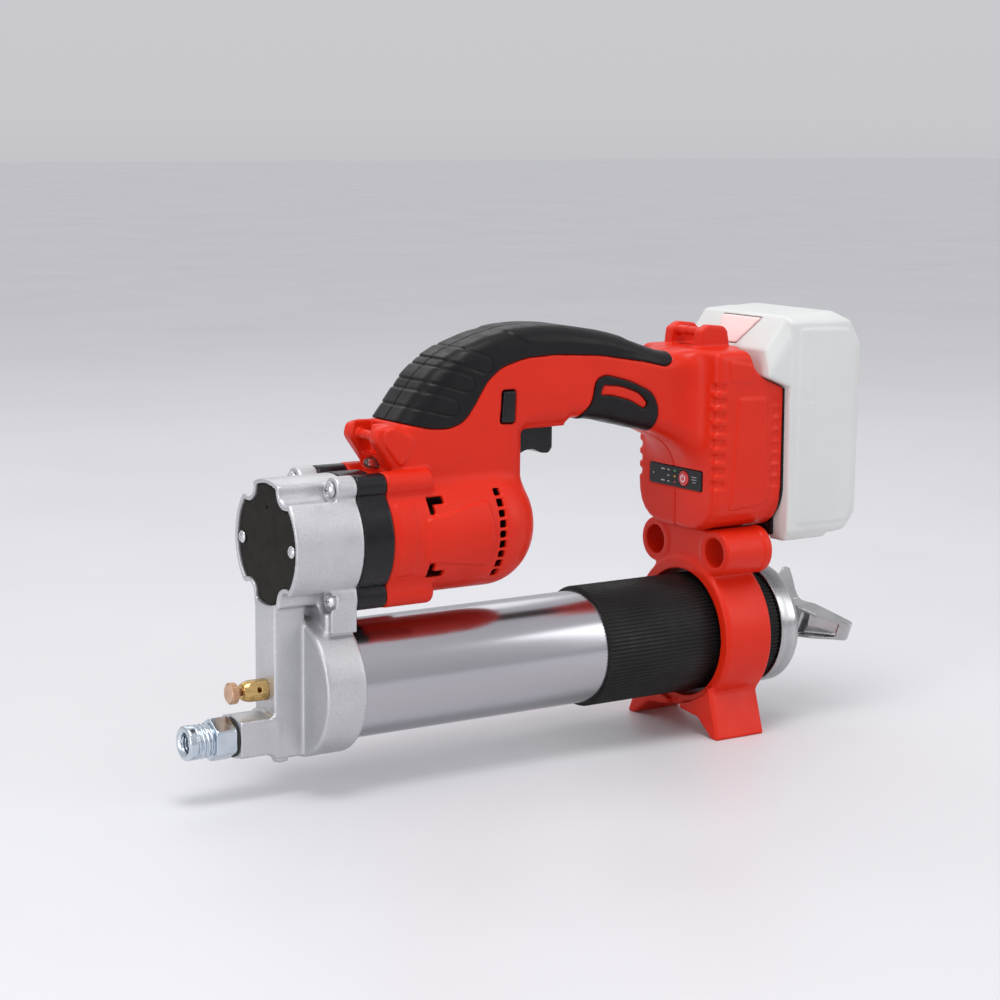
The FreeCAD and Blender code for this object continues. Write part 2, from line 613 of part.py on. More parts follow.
def bracket():
    piece = Piece("clamp_bracket", z=0)
    piece.pad("YZ", [Ring(0, d.barrel_z, d.ring_out)], d.ring_rear, d.ring_front)
    piece.pad("YZ", [rect(-27, 82, 27, d.box_low)], d.ring_rear + 2, d.ring_front - 1)
    for side in (1, -1):
        piece.pad("YZ", [Ring(side * d.store_y, d.store_z, d.store_out)], d.ring_rear - 1.5,
                  d.ring_front - 1.3)
        foot = [(side * d.foot_in, 0), (side * d.foot_out, 0), (side * 29, 24), (side * 20, 34),
                (side * 4, 14), (side * 5.5, 10.6), (side * 20.7, 8.8)]
        piece.pad("YZ", [foot], d.ring_rear + 1, d.foot_front)
    piece.pocket("YZ", [Ring(0, d.barrel_z, d.ring_in)], d.ring_rear - 5, d.ring_front + 5)
    for side in (1, -1):
        piece.pocket("YZ", [Ring(side * d.store_y, d.store_z, d.store_r)], d.ring_rear - 5,
                     d.ring_front + 5)
        piece.pocket("XY", [Ring(-110, side * 8, 3.6)], 78, 92)
        piece.pocket("XY", [Ring(-110, side * 8, 1.65)], 91, d.box_low + 2)
    seats = [Vector(-110, side * 8, 92) for side in (1, -1)]
    screws("bracket_screws", seats, Vector(0, 0, -1), (3.0, 2.2), (1.6, 19))


# ---------------------------------------------------------------- housing

GRIP_TOP = [(84, 171.5), Via((61, 199.5)), (33.5, 212), Via((4.4, 215.6)), (-28.7, 211.3),
            Via((-54, 204.4)), (-71.6, 194.7)]
GRIP_BORDER = [(-57, 194.6), Via((-15, 200.9)), (14, 200.2), Via((27, 196)), (35, 191), (51, 172.6),
               (60, 169.3)]
NECK_REAR_X = 14.3
CORE_TOP = [(82, 169), Via((59, 196.4)), (32.9, 208.6), Via((4.4, 212.3)), (-28, 208.1),
            Via((-52, 201.5)), (-68, 196.2)]
CORE = CORE_TOP + [(-57, 188), (14, 194), (30, 184), (48, 166)]
CORE_ROOM = [(77, 165), Via((57, 192.5)), (32.3, 205.3), Via((4.4, 209)), (-27.4, 204.9),
             (-56, 196), (-57, 185), (14, 190), (30, 180), (48, 160)]
HOUSING_SCREWS = [(70, 157, 17.5), (24, 157, 17.5), (-28, 184, 17.5), (-60, 177, 17.5),
                  (-99, 124, 24), (-99, 187, 24)]


def handle_profile():
    """Side outline of neck and handle below the grips."""
    under = [(d.box_front - 6, 143), (d.box_front, 147), (-64.2, 159.7), (-48.4, 163.3),
             (-36, 166.6), (-23.7, 168.6), (-14.6, 168.5), (-10.4, 165.8), (12.2, 165.3),
             (NECK_REAR_X, 163.4), (NECK_REAR_X, 130), (88, 130)]
    top = [(88.3, 150.5), (98.2, 165.5), Via((98, 171.5)), (91.5, 174), (84, 171.5), (60, 169.3),
           (51, 172.6), (35, 191), Via((27, 196)), (14, 200.2), Via((-15, 200.9)), (-57, 194.6), (-72, 194.6), (-80, d.box_top), (d.box_front - 6, d.box_top)]
    return under + top


def handle_room():
    """Inside of neck and handle below the grips."""
    return [(d.box_front - 8, 160), (-64, 163), (-48.4, 166.5), (-36, 169.8), (-10.4, 169),
            (NECK_REAR_X + 3, 166.5), (NECK_REAR_X + 3, 138), (80, 138), (80, 166), (60, 165.5), (49, 167.6),
            (33, 187), (14, 197), (-15, 197.7), (-57, 191), (-80, 188), (d.box_front - 8, 188)]


def motor_profile(shift):
    """Half section of the motor housing; shift moves it inwards."""
    rear = d.motor_shell_end + shift
    radius = d.motor_shell_r - shift
    return [(rear, 0), (rear, 5), Via((11.5 + 0.8 * value_of(shift), 17.5 - 0.6 * value_of(shift))),
            (22 + 0.5 * value_of(shift), 28 - 0.9 * value_of(shift)), (30, radius),
            (d.spacer_rear, radius), (d.spacer_rear, 0)]


def box_outline(inset, low, top):
    """Battery box seen from the front, with its large lower corners."""
    half = d.box_half - inset
    corner = d.box_corner - inset
    diagonal = corner.value * (1 - math.sqrt(0.5))
    def via(side):
        return Via((side * (half.value - diagonal), value_of(low) + diagonal))
    return [(-half + corner, low), (half - corner, low), via(1), (half, low + corner), (half, top),
            (-half, top), (-half, low + corner), via(-1)]


VENT_X = 36
VENT_SIZE = 4.4
VENT_HEIGHTS = [98.5 + 4.9 * i for i in range(9)]


def housing(label, side):
    """One half of the clamshell: motor housing, neck, handle, battery box and strap eyes."""
    half = Piece(label)
    half.pad("XZ", [handle_profile()], -d.handle_half, d.handle_half)
    half.pad("XZ", [CORE], -d.core_half, d.core_half)
    half.turn(motor_profile(0), rise=d.motor_z)
    for sy, sz in SCREW_CORNERS:
        lobe = Ring(d.screw_y * sy, d.motor_z + d.screw_z * sz, d.lobe_r)
        half.pad("YZ", [lobe], 71, d.spacer_rear)
    half.pad("YZ", [box_outline(0, d.box_low, d.box_top)], d.box_rear, d.box_front)
    # front strap eye: a slot through the neck's leaning front; rear strap eye: an ear; bars in both
    half.pocket("XZ", [rect(83.5, 157.5, 100, 178)], -8, 8)
    ear = [(-112, 198), (-94.5, 198), (-94.5, 208), Via((-97, 211)), (-100, 211.5), (-108, 210)]
    half.pad("XZ", [ear], 9 if side > 0 else -15, 15 if side > 0 else -9)
    for x, z, reach in ((93, 166.2, 9), (-98, 207.5, 10)):
        half.pad("XZ", [Ring(x, z, 2.4)], 0 if side > 0 else -reach, reach if side > 0 else 0)
    # rooms inside
    half.pocket("XZ", [handle_room()], -(d.handle_half - d.wall), d.handle_half - d.wall)
    half.pocket("XZ", [CORE_ROOM], -(d.core_half - d.wall), d.core_half - d.wall)
    half.groove(motor_profile(d.wall), rise=d.motor_z)
    room = box_outline(d.wall, d.box_low + d.wall, 175)
    half.pocket("YZ", [room], d.box_rear - 1, d.box_front - d.wall)
    half.pocket("YZ", [rect(-30, 170, 30, 197)], -106, d.box_front - d.wall)
    # the box's sloping upper rear edge
    slope = [(-109.5, 202), (-114.6, 190.6), Via((-116.4, 187.8)), (-119.4, 185.3), (-134.5, 179.2),
             (-136, 202)]
    half.pocket("XZ", [slope], -40, 40)
    # cradles for the motor can
    for x in (44, 84):
        half.pad("YZ", [Ring(0, d.motor_z, d.motor_shell_r - 1), Ring(0, d.motor_z, d.can_r + 0.05)],
                 x, x + 3)
    # openings in the walls
    half.pocket("XZ", [rect(-8.7, 155, 13.6, 171)], -7.4, 7.4)
    half.pocket("XZ", [rect(21, 169.6, 30.4, 185.4)], -20, 20)
    half.pocket("YZ", [Ring(0, 153, 3.05)], 80, 96)
    half.pocket("YZ", [rect(-21.9, d.panel_z - 5.5, 21.9, d.panel_z + 5.5)], -91.5, d.box_front + 1)
    half.pocket("YZ", [Ring(d.button_y, d.panel_z, 4.2)], d.box_front - d.wall - 1, d.box_front)
    squares = [rect(VENT_X - VENT_SIZE / 2, z - VENT_SIZE / 2 + 0.6, VENT_X + VENT_SIZE / 2,
                    z + VENT_SIZE / 2 - 0.6) for z in VENT_HEIGHTS]
    half.pocket("XZ", squares, 0 if side > 0 else -40, 40 if side > 0 else 0)
    for x, z, head_y in HOUSING_SCREWS:
        boss_r, boss_end = (3.4, 15) if head_y < 20 else (4.6, 31)
        half.pad("XZ", [Ring(x, z, boss_r)], -boss_end, boss_end)
        half.pocket("XZ", [Ring(x, z, 1.55)], -40, 9)
        half.pocket("XZ", [Ring(x, z, 3.2)], -40, -(head_y - 2.5))
    for place in (8, -8):
        half.pocket("XY", [Ring(-110, place, 1.6)], d.box_low - 1, d.box_low + d.wall + 1)
    for sy, sz in SCREW_CORNERS:
        hole = Ring(d.screw_y * sy, d.motor_z + d.screw_z * sz, d.screw_hole)
        half.pocket("YZ", [hole], 83, d.spacer_rear + 1)
    half.keep(side)


def housing_screws():
    groups = []
    for x, z, head_y in HOUSING_SCREWS:
        seat = -(head_y - 2.5)
        head = Part.makeCylinder(3.0, 2.2, Vector(x, seat, z), Vector(0, -1, 0))
        stem = Part.makeCylinder(1.5, 8 - seat, Vector(x, seat, z), Vector(0, 1, 0))
        groups.append(head.fuse(stem).removeSplitter())
    solid("housing_screws", Part.makeCompound(groups))


def grips(side_name, side):
    """Black overmould of the handle's top, and the pad under its rear end."""
    top = Piece("top_grip_" + side_name)
    top.pad("XZ", [GRIP_TOP + GRIP_BORDER], -d.handle_half, d.handle_half)
    top.pocket("XZ", [CORE_TOP + [(-68, 190), (82, 160)]], -d.core_half, d.core_half)
    top.keep(side)
    low = Piece("lower_grip_" + side_name)
    low.pad("XZ", [LOWER_GRIP], -d.handle_half - 0.8, d.handle_half + 0.8)
    low.pocket("XZ", [LOWER_GRIP_SEAT], -d.handle_half, d.handle_half)
    low.keep(side)


LOWER_GRIP = [(-19, 168.6), (-23.7, 167.2), (-36, 165.2), (-48.4, 161.8), (-62.5, 158.6), Via((-66.6, 166)),
              (-64.8, 173.5), Via((-57.5, 182)), (-46, 186.3), (-32, 189.8), Via((-27.3, 188.6)),
              (-25.8, 184), Via((-23, 176))]
LOWER_GRIP_SEAT = [(-14.6, 168.5), (-23.7, 168.6), (-36, 166.6), (-48.4, 163.3), (-64.2, 159.7),
                   (-90.5, 147), (-96, 147), (-96, 192), (-14.6, 192)]


def controls():
    trigger = Piece("trigger")
    profile = [(-8.3, 172), (-8.3, 153), Via((-6.5, 151.3)), (-4.5, 151.4), Via((4.5, 154.2)),
               (12.6, 151.8), (13.1, 172)]
    trigger.pad("XZ", [profile], -7, 7)
    switch = Piece("trigger_switch")
    switch.pad("XZ", [rect(-14, 180.4, 15.5, 194)], -(d.handle_half - d.wall - 0.1),
               d.handle_half - d.wall - 0.1)
    lock = Piece("lock_button")
    lock.pad("XZ", [rect(21.3, 169.9, 30.1, 185.1)], -15, 18.4)
    light = Piece("work_light", z=153)
    light.turn([(84, 0), (97, 0), (96.4, 1.6), (95, 2.5), (94, 3), (84, 3)])
    panel = Piece("label_panel", z=d.panel_z)
    panel.pad("YZ", [rect(-21.7, -5.3, 21.7, 5.3)], -91.5, -90.2)
    panel.pocket("YZ", [Ring(d.button_y, 0, 4.2)], -93, -89)
    button = Piece("mode_button", y=d.button_y, z=d.panel_z)
    button.turn([(-92.6, 0), (-89.6, 0), (-89.6, 3.3), (-90.2, 3.9), (-92.6, 3.9)])
    board = Piece("control_board")
    board.pad("YZ", [rect(-24, 126, 24, 160)], -105, -103.4)
    board.pad("YZ", [rect(d.button_y - 3, d.panel_z - 3, d.button_y + 3, d.panel_z + 3)], -104, -94.2)


RAIL_REAR = -139.0          # rear face of the rail that holds the pack
HUMP_EDGE = (-121, 199)     # front top edge of the pack's hump, seen from the side


def battery():
    mount = Piece("battery_mount")
    plate = box_outline(0, d.box_low, 179)
    mount.pad("YZ", [plate], d.box_rear - d.mount_thick, d.box_rear)
    mount.pad("YZ", [rect(-26, 102, 26, 116)], d.box_rear - d.mount_thick, d.box_rear)
    mount.pad("YZ", [rect(-22, d.box_low, 22, 178)], RAIL_REAR, d.box_rear - 1)
    blades = Piece("battery_terminals")
    for y in (-9, -3, 3, 9):
        blades.pad("XZ", [rect(-145, 130, RAIL_REAR, 152)], y - 0.4, y + 0.4)
    case = Piece("battery_case")
    case.pad("YZ", [rect(-d.pack_half, d.pack_low, d.pack_half, d.pack_top)], d.pack_rear, d.pack_front)
    # hump over the box's sloping upper rear edge, narrower towards its top
    hump = [(-137, 178.8), (-120.6, 185.4), HUMP_EDGE, (-134, d.pack_top), (-137, d.pack_top)]
    case.pad("XZ", [hump], -33, 33)
    case.pad("XZ", [[(-137, 178.8), (-120.6, 185.4), (-120.6, 187), (-133, 202.6), (-137, 202.6)]],
             -d.pack_half, d.pack_half)
    # room for the cells, and the slot that slides over the mount's rail and blades
    case.pocket("YZ", [rect(-35, 101, 35, 214)], d.pack_rear + 2, -149)
    case.pocket("YZ", [rect(-22.4, 90, 22.4, 178.4)], RAIL_REAR - 0.5, d.pack_front + 1)
    case.pocket("YZ", [rect(-12, 90, 12, 153)], -146, d.pack_front)
    # seat of the release button in the hump
    case.pocket("YZ", [[(-7.4, 200.7), (7.4, 200.7), (16.1, 215.6), (-16.1, 215.6)]], -139, -118)
    cells = []
    for row in range(5):
        place = Vector(-163, -32.5, 115 + 20.5 * row)
        cells.append(Part.makeCylinder(9.2, 65, place, Vector(0, 1, 0)))
    solid("battery_cells", Part.makeCompound(cells))
    button = Piece("battery_button")
    button.pad("YZ", [[(-7, 201), (7, 201), (15.6, 215.3), (-15.6, 215.3)]], -136, -118)
    button.pocket("XZ", [[HUMP_EDGE, (-134, d.pack_top), (-110, d.pack_top), (-110, 199)]], -20, 20)


# ---------------------------------------------------------------- build

pump_head()
gear_case_parts()
plunger()
gear_train()
carriers()
motor()
head_screws()
outlet_parts()
barrel()
springs()
bracket()
housing("left_housing", 1)
housing("right_housing", -1)
housing_screws()
grips("left", 1)
grips("right", -1)
controls()
battery()
doc.recompute()

parts = [o for o in doc.Objects if o.TypeId in ("PartDesign::Body", "Part::Feature", "Part::Sphere")]
failed = [f"{o.Label} in {[p.Label for p in o.InList]}" for o in doc.Objects
          if {"Invalid", "Error"} & set(o.State)]
if failed:
    raise RuntimeError("failed: " + ", ".join(failed))
for part in parts:
    if part.Shape.isNull() or not part.Shape.isValid():
        raise RuntimeError(f"{part.Label} has no valid shape")

os.makedirs("parts", exist_ok=True)
for part in parts:
    part.Shape.exportStep(f"parts/{part.Label}.step")
print(f"{len(parts)} sub-parts written")
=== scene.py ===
"""Looks of the cordless grease gun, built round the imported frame.

Shapes are worked out in millimetres on the frame's own axes: X from the T-handle to the outlet, Y to
the gun's left, Z up from the soles. A moulded or cast piece is a field of distances meshed by OpenVDB,
and a turned piece is a lathe profile.
"""
import json
import math

import bpy
import numpy as np
import openvdb
from mathutils import Matrix, Vector


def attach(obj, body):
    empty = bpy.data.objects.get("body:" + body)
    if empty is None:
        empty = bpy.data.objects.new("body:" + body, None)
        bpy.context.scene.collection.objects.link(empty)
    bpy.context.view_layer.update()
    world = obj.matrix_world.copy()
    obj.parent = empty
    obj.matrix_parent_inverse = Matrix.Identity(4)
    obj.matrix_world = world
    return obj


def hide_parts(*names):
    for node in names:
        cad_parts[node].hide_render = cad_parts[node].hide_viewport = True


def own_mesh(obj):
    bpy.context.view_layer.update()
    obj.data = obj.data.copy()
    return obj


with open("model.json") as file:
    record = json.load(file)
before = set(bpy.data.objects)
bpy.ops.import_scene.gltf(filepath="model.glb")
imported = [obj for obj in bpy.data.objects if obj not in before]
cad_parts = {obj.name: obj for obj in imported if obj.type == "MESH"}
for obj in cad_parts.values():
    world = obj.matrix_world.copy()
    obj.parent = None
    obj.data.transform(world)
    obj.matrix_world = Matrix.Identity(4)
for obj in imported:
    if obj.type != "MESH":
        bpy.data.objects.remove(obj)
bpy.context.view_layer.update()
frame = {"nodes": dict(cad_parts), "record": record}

MM = 0.001
FAR = 1e3

# axes and heights, in mm
BARREL_Z = 50.0
MOTOR_Z = 119.0
OUTLET_Z = 30.0
BLEEDER_Z = 50.5
LIGHT_Z = 153
PANEL_Z = 132.3
BUTTON_Y = 7.2
LED_Y = -0.6
STORE_Y, STORE_Z = 24.7, 95.3
COVER_SCREW_Y = 24
SCREW_CORNERS = [(sy, sz) for sy in (18.0, -18.0) for sz in (26.0, -26.0)]
SCREW_HOLE, SCREW_SEAT = 2.1, 124
NECK_FRONT = 97
HANDLE_HALF = 17.5
MOTOR_SHELL_R, MOTOR_SHELL_END = 30.5, 7.2
BOX_REAR = -133.6
LOBE_R = 6.3
WALL = 2.6
TOP_SEAT_DEPTH, LOWER_SEAT_DEPTH = 1.7, 1.2
CASE_R, CASE_REAR, CASE_FRONT = 30.7, 113, 148.5
PLUNGER_X = 139.6
BLEEDER_R, BARREL_BORE_R, CLAMP_R = 3.1, 28.6, 33.3
TUBE_R, CAP_R, CAP_REAR = 28.5, 31.8, -152.8

# camera, sky and noise
CAMERA_PLACE = (0.6656, 0.9709, 0.3184)
CAMERA_RIGHT = (-0.8327, 0.5536, 0.0084)
CAMERA_BACK = (0.5476, 0.8213, 0.1602)
FOCAL_LENGTH, SENSOR_WIDTH = 86.55, 36
FLOOR_HALF = 12.0
SKY = [(0.40, (0.45, 0.45, 0.47, 1)), (0.5, (0.74, 0.74, 0.78, 1)), (0.62, (0.78, 0.79, 0.82, 1)),
       (0.85, (0.92, 0.92, 0.95, 1))]
SKY_STRENGTH = 0.78
NOISE_LOW, NOISE_HIGH = 0.3, 0.7
WEAR_START, WEAR_FULL = 0.54, 0.54 + 0.12


# ---------------------------------------------------------------- camera, floor and light

def add_camera():
    """Camera that looks at the gun's left side and outlet from a little above."""
    right = Vector(CAMERA_RIGHT).normalized()
    back = Vector(CAMERA_BACK).normalized()
    up = back.cross(right).normalized()
    data = bpy.data.cameras.new("camera")
    data.lens = FOCAL_LENGTH
    data.sensor_width = SENSOR_WIDTH
    camera = bpy.data.objects.new("camera", data)
    turn = Matrix((up.cross(back), up, back)).transposed().to_4x4()
    camera.matrix_world = Matrix.Translation(CAMERA_PLACE) @ turn
    bpy.context.scene.collection.objects.link(camera)
    bpy.context.scene.camera = camera
    bpy.context.scene.view_settings.view_transform = "Standard"


def add_area(name, place, target, size, power):
    data = bpy.data.lights.new(name, "AREA")
    data.shape = "RECTANGLE"
    data.size, data.size_y = size
    data.energy = power
    lamp = bpy.data.objects.new(name, data)
    lamp.location = place
    lamp.rotation_euler = (Vector(target) - Vector(place)).to_track_quat("-Z", "Y").to_euler()
    bpy.context.scene.collection.objects.link(lamp)


def add_studio():
    """Soft box overhead, a strip on each side, and a pale sky over a pale floor."""
    middle = (0.0, 0.0, 0.1)
    add_area("key", (0.25, 0.3, 1.6), middle, (0.8, 0.8), 11.5)
    add_area("front_strip", (1.6, 0.5, 0.55), middle, (0.5, 1.1), 6)
    add_area("rear_strip", (-1.1, 1.0, 0.7), middle, (0.4, 1.0), 3)
    add_area("back_light", (-0.3, -1.3, 1.2), middle, (1.6, 0.6), 3)
    world = bpy.data.worlds.new("studio")
    world.use_nodes = True
    nodes, links = world.node_tree.nodes, world.node_tree.links
    nodes.clear()
    coords = nodes.new("ShaderNodeTexCoord")
    split = nodes.new("ShaderNodeSeparateXYZ")
    ramp = nodes.new("ShaderNodeValToRGB")
    set_ramp(ramp, SKY)
    scale = nodes.new("ShaderNodeMath")
    scale.operation = "MULTIPLY_ADD"
    scale.inputs[1].default_value = 0.5
    scale.inputs[2].default_value = 0.5
    shade = nodes.new("ShaderNodeBackground")
    shade.inputs["Strength"].default_value = SKY_STRENGTH
    out = nodes.new("ShaderNodeOutputWorld")
    links.new(coords.outputs["Generated"], split.inputs[0])
    links.new(split.outputs["Z"], scale.inputs[0])
    links.new(scale.outputs[0], ramp.inputs["Fac"])
    links.new(ramp.outputs["Color"], shade.inputs["Color"])
    links.new(shade.outputs[0], out.inputs["Surface"])
    bpy.context.scene.world = world


def add_floor():
    mesh = bpy.data.meshes.new("floor")
    corners = [(sx * FLOOR_HALF, sy * FLOOR_HALF, 0) for sx, sy in ((-1, -1), (1, -1), (1, 1), (-1, 1))]
    mesh.from_pydata(corners, [], [(0, 1, 2, 3)])
    floor = bpy.data.objects.new("floor", mesh)
    bpy.context.scene.collection.objects.link(floor)
    mesh.materials.append(make_finish("floor", (0.70, 0.70, 0.725), (0.73, 0.73, 0.755), rough=0.45,
                                      patch=3.0, grain=400, bump=0.02))


# ---------------------------------------------------------------- finishes

def set_ramp(ramp, stops):
    """Gives a colour ramp its stops: (position, RGBA)."""
    elements = ramp.color_ramp.elements
    while len(elements) > 1:
        elements.remove(elements[-1])
    elements[0].position, elements[0].color = stops[0]
    for place, colour in stops[1:]:
        elements.new(place).color = colour


def make_finish(name, dark, light, rough, metallic=0.0, patch=60.0, grain=1200.0, bump=0.1, bump_mm=0.15,
                rough_swing=0.08, wear=None, coat=0.0, specular=0.5, streak=None,
                transmission=0.0, speck=0.0):
    """Surface with patchy colour, uneven gloss, fine grain and worn edges.

    patch and grain are noise scales per metre; streak is the direction along which both are drawn out;
    speck is how strongly the grain shows in the colour.
    """
    material = bpy.data.materials.new(name)
    material.use_nodes = True
    nodes, links = material.node_tree.nodes, material.node_tree.links
    shader = nodes["Principled BSDF"]
    shader.inputs["Metallic"].default_value = metallic
    shader.inputs["Specular IOR Level"].default_value = specular
    shader.inputs["Coat Weight"].default_value = coat
    shader.inputs["Coat Roughness"].default_value = 0.08
    shader.inputs["Transmission Weight"].default_value = transmission
    coords = nodes.new("ShaderNodeTexCoord")
    mapping = nodes.new("ShaderNodeMapping")
    if streak:
        mapping.inputs["Scale"].default_value = streak
    links.new(coords.outputs["Object"], mapping.inputs["Vector"])

    def noise(scale, detail):
        node = nodes.new("ShaderNodeTexNoise")
        node.inputs["Scale"].default_value = scale
        node.inputs["Detail"].default_value = detail
        links.new(mapping.outputs["Vector"], node.inputs["Vector"])
        return node.outputs["Fac"]

    def spread(value, *limits):
        node = nodes.new("ShaderNodeMapRange")
        for socket, limit in zip(("From Min", "From Max", "To Min", "To Max"), limits):
            node.inputs[socket].default_value = limit
        links.new(value, node.inputs["Value"])
        return node.outputs["Result"]

    patches = noise(patch, 4.0)
    grains = noise(grain, 2.0)
    ramp = nodes.new("ShaderNodeValToRGB")
    set_ramp(ramp, [(NOISE_LOW, (*dark, 1)), (NOISE_HIGH, (*light, 1))])
    links.new(patches, ramp.inputs["Fac"])
    colour = ramp.outputs["Color"]
    gloss = spread(noise(patch * 3, 5.0), NOISE_LOW, NOISE_HIGH, max(rough - rough_swing, 0.02),
                   rough + rough_swing)
    if wear:
        geometry = nodes.new("ShaderNodeNewGeometry")
        edge = spread(geometry.outputs["Pointiness"], WEAR_START, WEAR_FULL, 0, 1)
        patchy = nodes.new("ShaderNodeMath")
        patchy.operation = "MULTIPLY"
        links.new(edge, patchy.inputs[0])
        links.new(patches, patchy.inputs[1])
        mix = nodes.new("ShaderNodeMix")
        mix.data_type = "RGBA"
        links.new(patchy.outputs[0], mix.inputs["Factor"])
        links.new(colour, mix.inputs[6])
        mix.inputs[7].default_value = (*wear, 1)
        colour = mix.outputs[2]
    if speck:
        tone = nodes.new("ShaderNodeHueSaturation")
        links.new(spread(grains, NOISE_LOW, NOISE_HIGH, 1 - speck, 1 + speck), tone.inputs["Value"])
        links.new(colour, tone.inputs["Color"])
        colour = tone.outputs["Color"]
    links.new(colour, shader.inputs["Base Color"])
    links.new(gloss, shader.inputs["Roughness"])
    relief = nodes.new("ShaderNodeBump")
    relief.inputs["Strength"].default_value = bump
    relief.inputs["Distance"].default_value = bump_mm * MM
    links.new(grains, relief.inputs["Height"])
    links.new(relief.outputs["Normal"], shader.inputs["Normal"])
    return material


def grey(value):
    return (value, value, value * 1.02)


FINISHES = {name: make_finish(name, *colours, **rest) for name, colours, rest in (
    ("cast_aluminium", ((0.55, 0.55, 0.57), (0.62, 0.62, 0.64)), dict(rough=0.42, metallic=0.8,
        grain=1500, bump=0.4, bump_mm=0.12, patch=45, wear=(0.9, 0.9, 0.91), speck=0.09)),
    ("black_cover", ((0.007, 0.0045, 0.002), (0.010, 0.007, 0.004)), dict(rough=0.36, grain=900,
        bump=0.05, specular=0.10)),
    ("screw_steel", (grey(0.62), grey(0.78)), dict(rough=0.22, metallic=1.0, grain=2500, bump=0.1,
        wear=(0.95, 0.93, 0.88))),
    ("spacer_plastic", ((0.006, 0.006, 0.008), (0.010, 0.010, 0.013)), dict(rough=0.25, grain=700,
        bump=0.02, specular=0.3)),
    ("gear_steel", (grey(0.36), grey(0.46)), dict(rough=0.35, metallic=1.0)),
    ("bearing_bronze", ((0.42, 0.27, 0.12), (0.55, 0.37, 0.18)), dict(rough=0.4, metallic=1.0)),
    ("motor_steel", (grey(0.42), grey(0.52)), dict(rough=0.35, metallic=1.0)),
    ("inner_plastic", (grey(0.010), grey(0.016)), dict(rough=0.5, specular=0.3)),
    ("seal_rubber", (grey(0.010), grey(0.018)), dict(rough=0.6)),
    ("spring_steel", (grey(0.4), grey(0.55)), dict(rough=0.25, metallic=1.0)),
    ("zinc_plate", ((0.50, 0.58, 0.66), (0.66, 0.71, 0.76)), dict(rough=0.2, metallic=1.0, patch=120,
        grain=2500, bump=0.08, wear=(0.95, 0.96, 0.97))),
    ("brass", ((0.54, 0.35, 0.12), (0.68, 0.46, 0.19)), dict(rough=0.24, metallic=1.0, patch=150,
        grain=3000, bump=0.08, wear=(0.95, 0.76, 0.45))),
    ("copper_knob", ((0.52, 0.31, 0.19), (0.68, 0.44, 0.29)), dict(rough=0.42, metallic=1.0, patch=200,
        grain=2500, bump=0.2, wear=(0.9, 0.66, 0.5))),
    ("polished_steel", ((0.46, 0.45, 0.48), (0.53, 0.52, 0.55)), dict(rough=0.2, metallic=1.0, patch=25,
        grain=600, bump=0.012, rough_swing=0.03, streak=(0.15, 1, 1))),
    ("sleeve_rubber", (grey(0.005), grey(0.009)), dict(rough=0.5, grain=1600, bump=0.12, specular=0.3)),
    ("turned_steel", (grey(0.40), grey(0.50)), dict(rough=0.24, metallic=1.0, grain=900, bump=0.05,
        streak=(4, 0.3, 0.3))),
    ("polished_casting", (grey(0.42), grey(0.52)), dict(rough=0.18, metallic=1.0, patch=80, grain=500,
        bump=0.08, rough_swing=0.06, wear=(0.75, 0.75, 0.75))),
    ("red_plastic", ((0.66, 0.017, 0.003), (0.72, 0.021, 0.004)), dict(rough=0.40, grain=2600,
        bump=0.14, bump_mm=0.06, patch=30, specular=0.26, wear=(0.93, 0.05, 0.018))),
    ("grip_rubber", ((0.006, 0.005, 0.006), (0.009, 0.008, 0.009)), dict(rough=0.38, grain=2200,
        bump=0.12, bump_mm=0.06, specular=0.2, wear=(0.05, 0.045, 0.048))),
    # the work light's lens is clear glass; its pinkish-red tint is a painted reflection of the red housing
    # around it
    ("clear_lens", ((0.93, 0.60, 0.55), (0.96, 0.66, 0.6)), dict(rough=0.05, grain=300, bump=0.02,
        transmission=0.95)),
    ("red_button", ((0.55, 0.014, 0.02), (0.66, 0.022, 0.03)), dict(rough=0.24, patch=300, coat=0.4,
        bump=0.03)),
    ("pack_plastic", ((0.64, 0.655, 0.64), (0.69, 0.70, 0.69)), dict(rough=0.42, grain=2000, bump=0.06,
        patch=20, wear=(0.82, 0.83, 0.82))),
    ("cell_wrap", (grey(0.7), grey(0.76)), dict(rough=0.5)),
    ("pack_button", ((0.86, 0.62, 0.60), (0.90, 0.68, 0.66)), dict(rough=0.36, grain=1500, bump=0.05)),
)}
SLOTS = {part["node"]: part["material_slot"] for part in frame["record"]["subparts"]}


# ---------------------------------------------------------------- fields of distance

class Field:
    """A box of space sampled every step mm, as three arrays that broadcast against each other."""

    def __init__(self, low, high, step=0.8):
        axes = [np.arange(a - 3 * step, b + 3 * step, step) for a, b in zip(low, high)]
        self.step = step
        self.corner = np.array([axis[0] for axis in axes])
        self.shape = tuple(len(axis) for axis in axes)
        self.x, self.y, self.z = np.meshgrid(*axes, indexing="ij", sparse=True)

    def mesh(self, name, distance):
        """Mesh of the surface where the distance is nought."""
        grid = openvdb.FloatGrid(10.0)
        grid.copyFromArray(np.ascontiguousarray(np.broadcast_to(distance, self.shape), dtype=np.float32))
        points, triangles, quads = grid.convertToPolygons(0.0, 0.0)
        points = (points * self.step + self.corner) * MM
        faces = [tuple(face) for face in quads.tolist() + triangles.tolist()]
        return make_mesh(name, points.tolist(), faces)


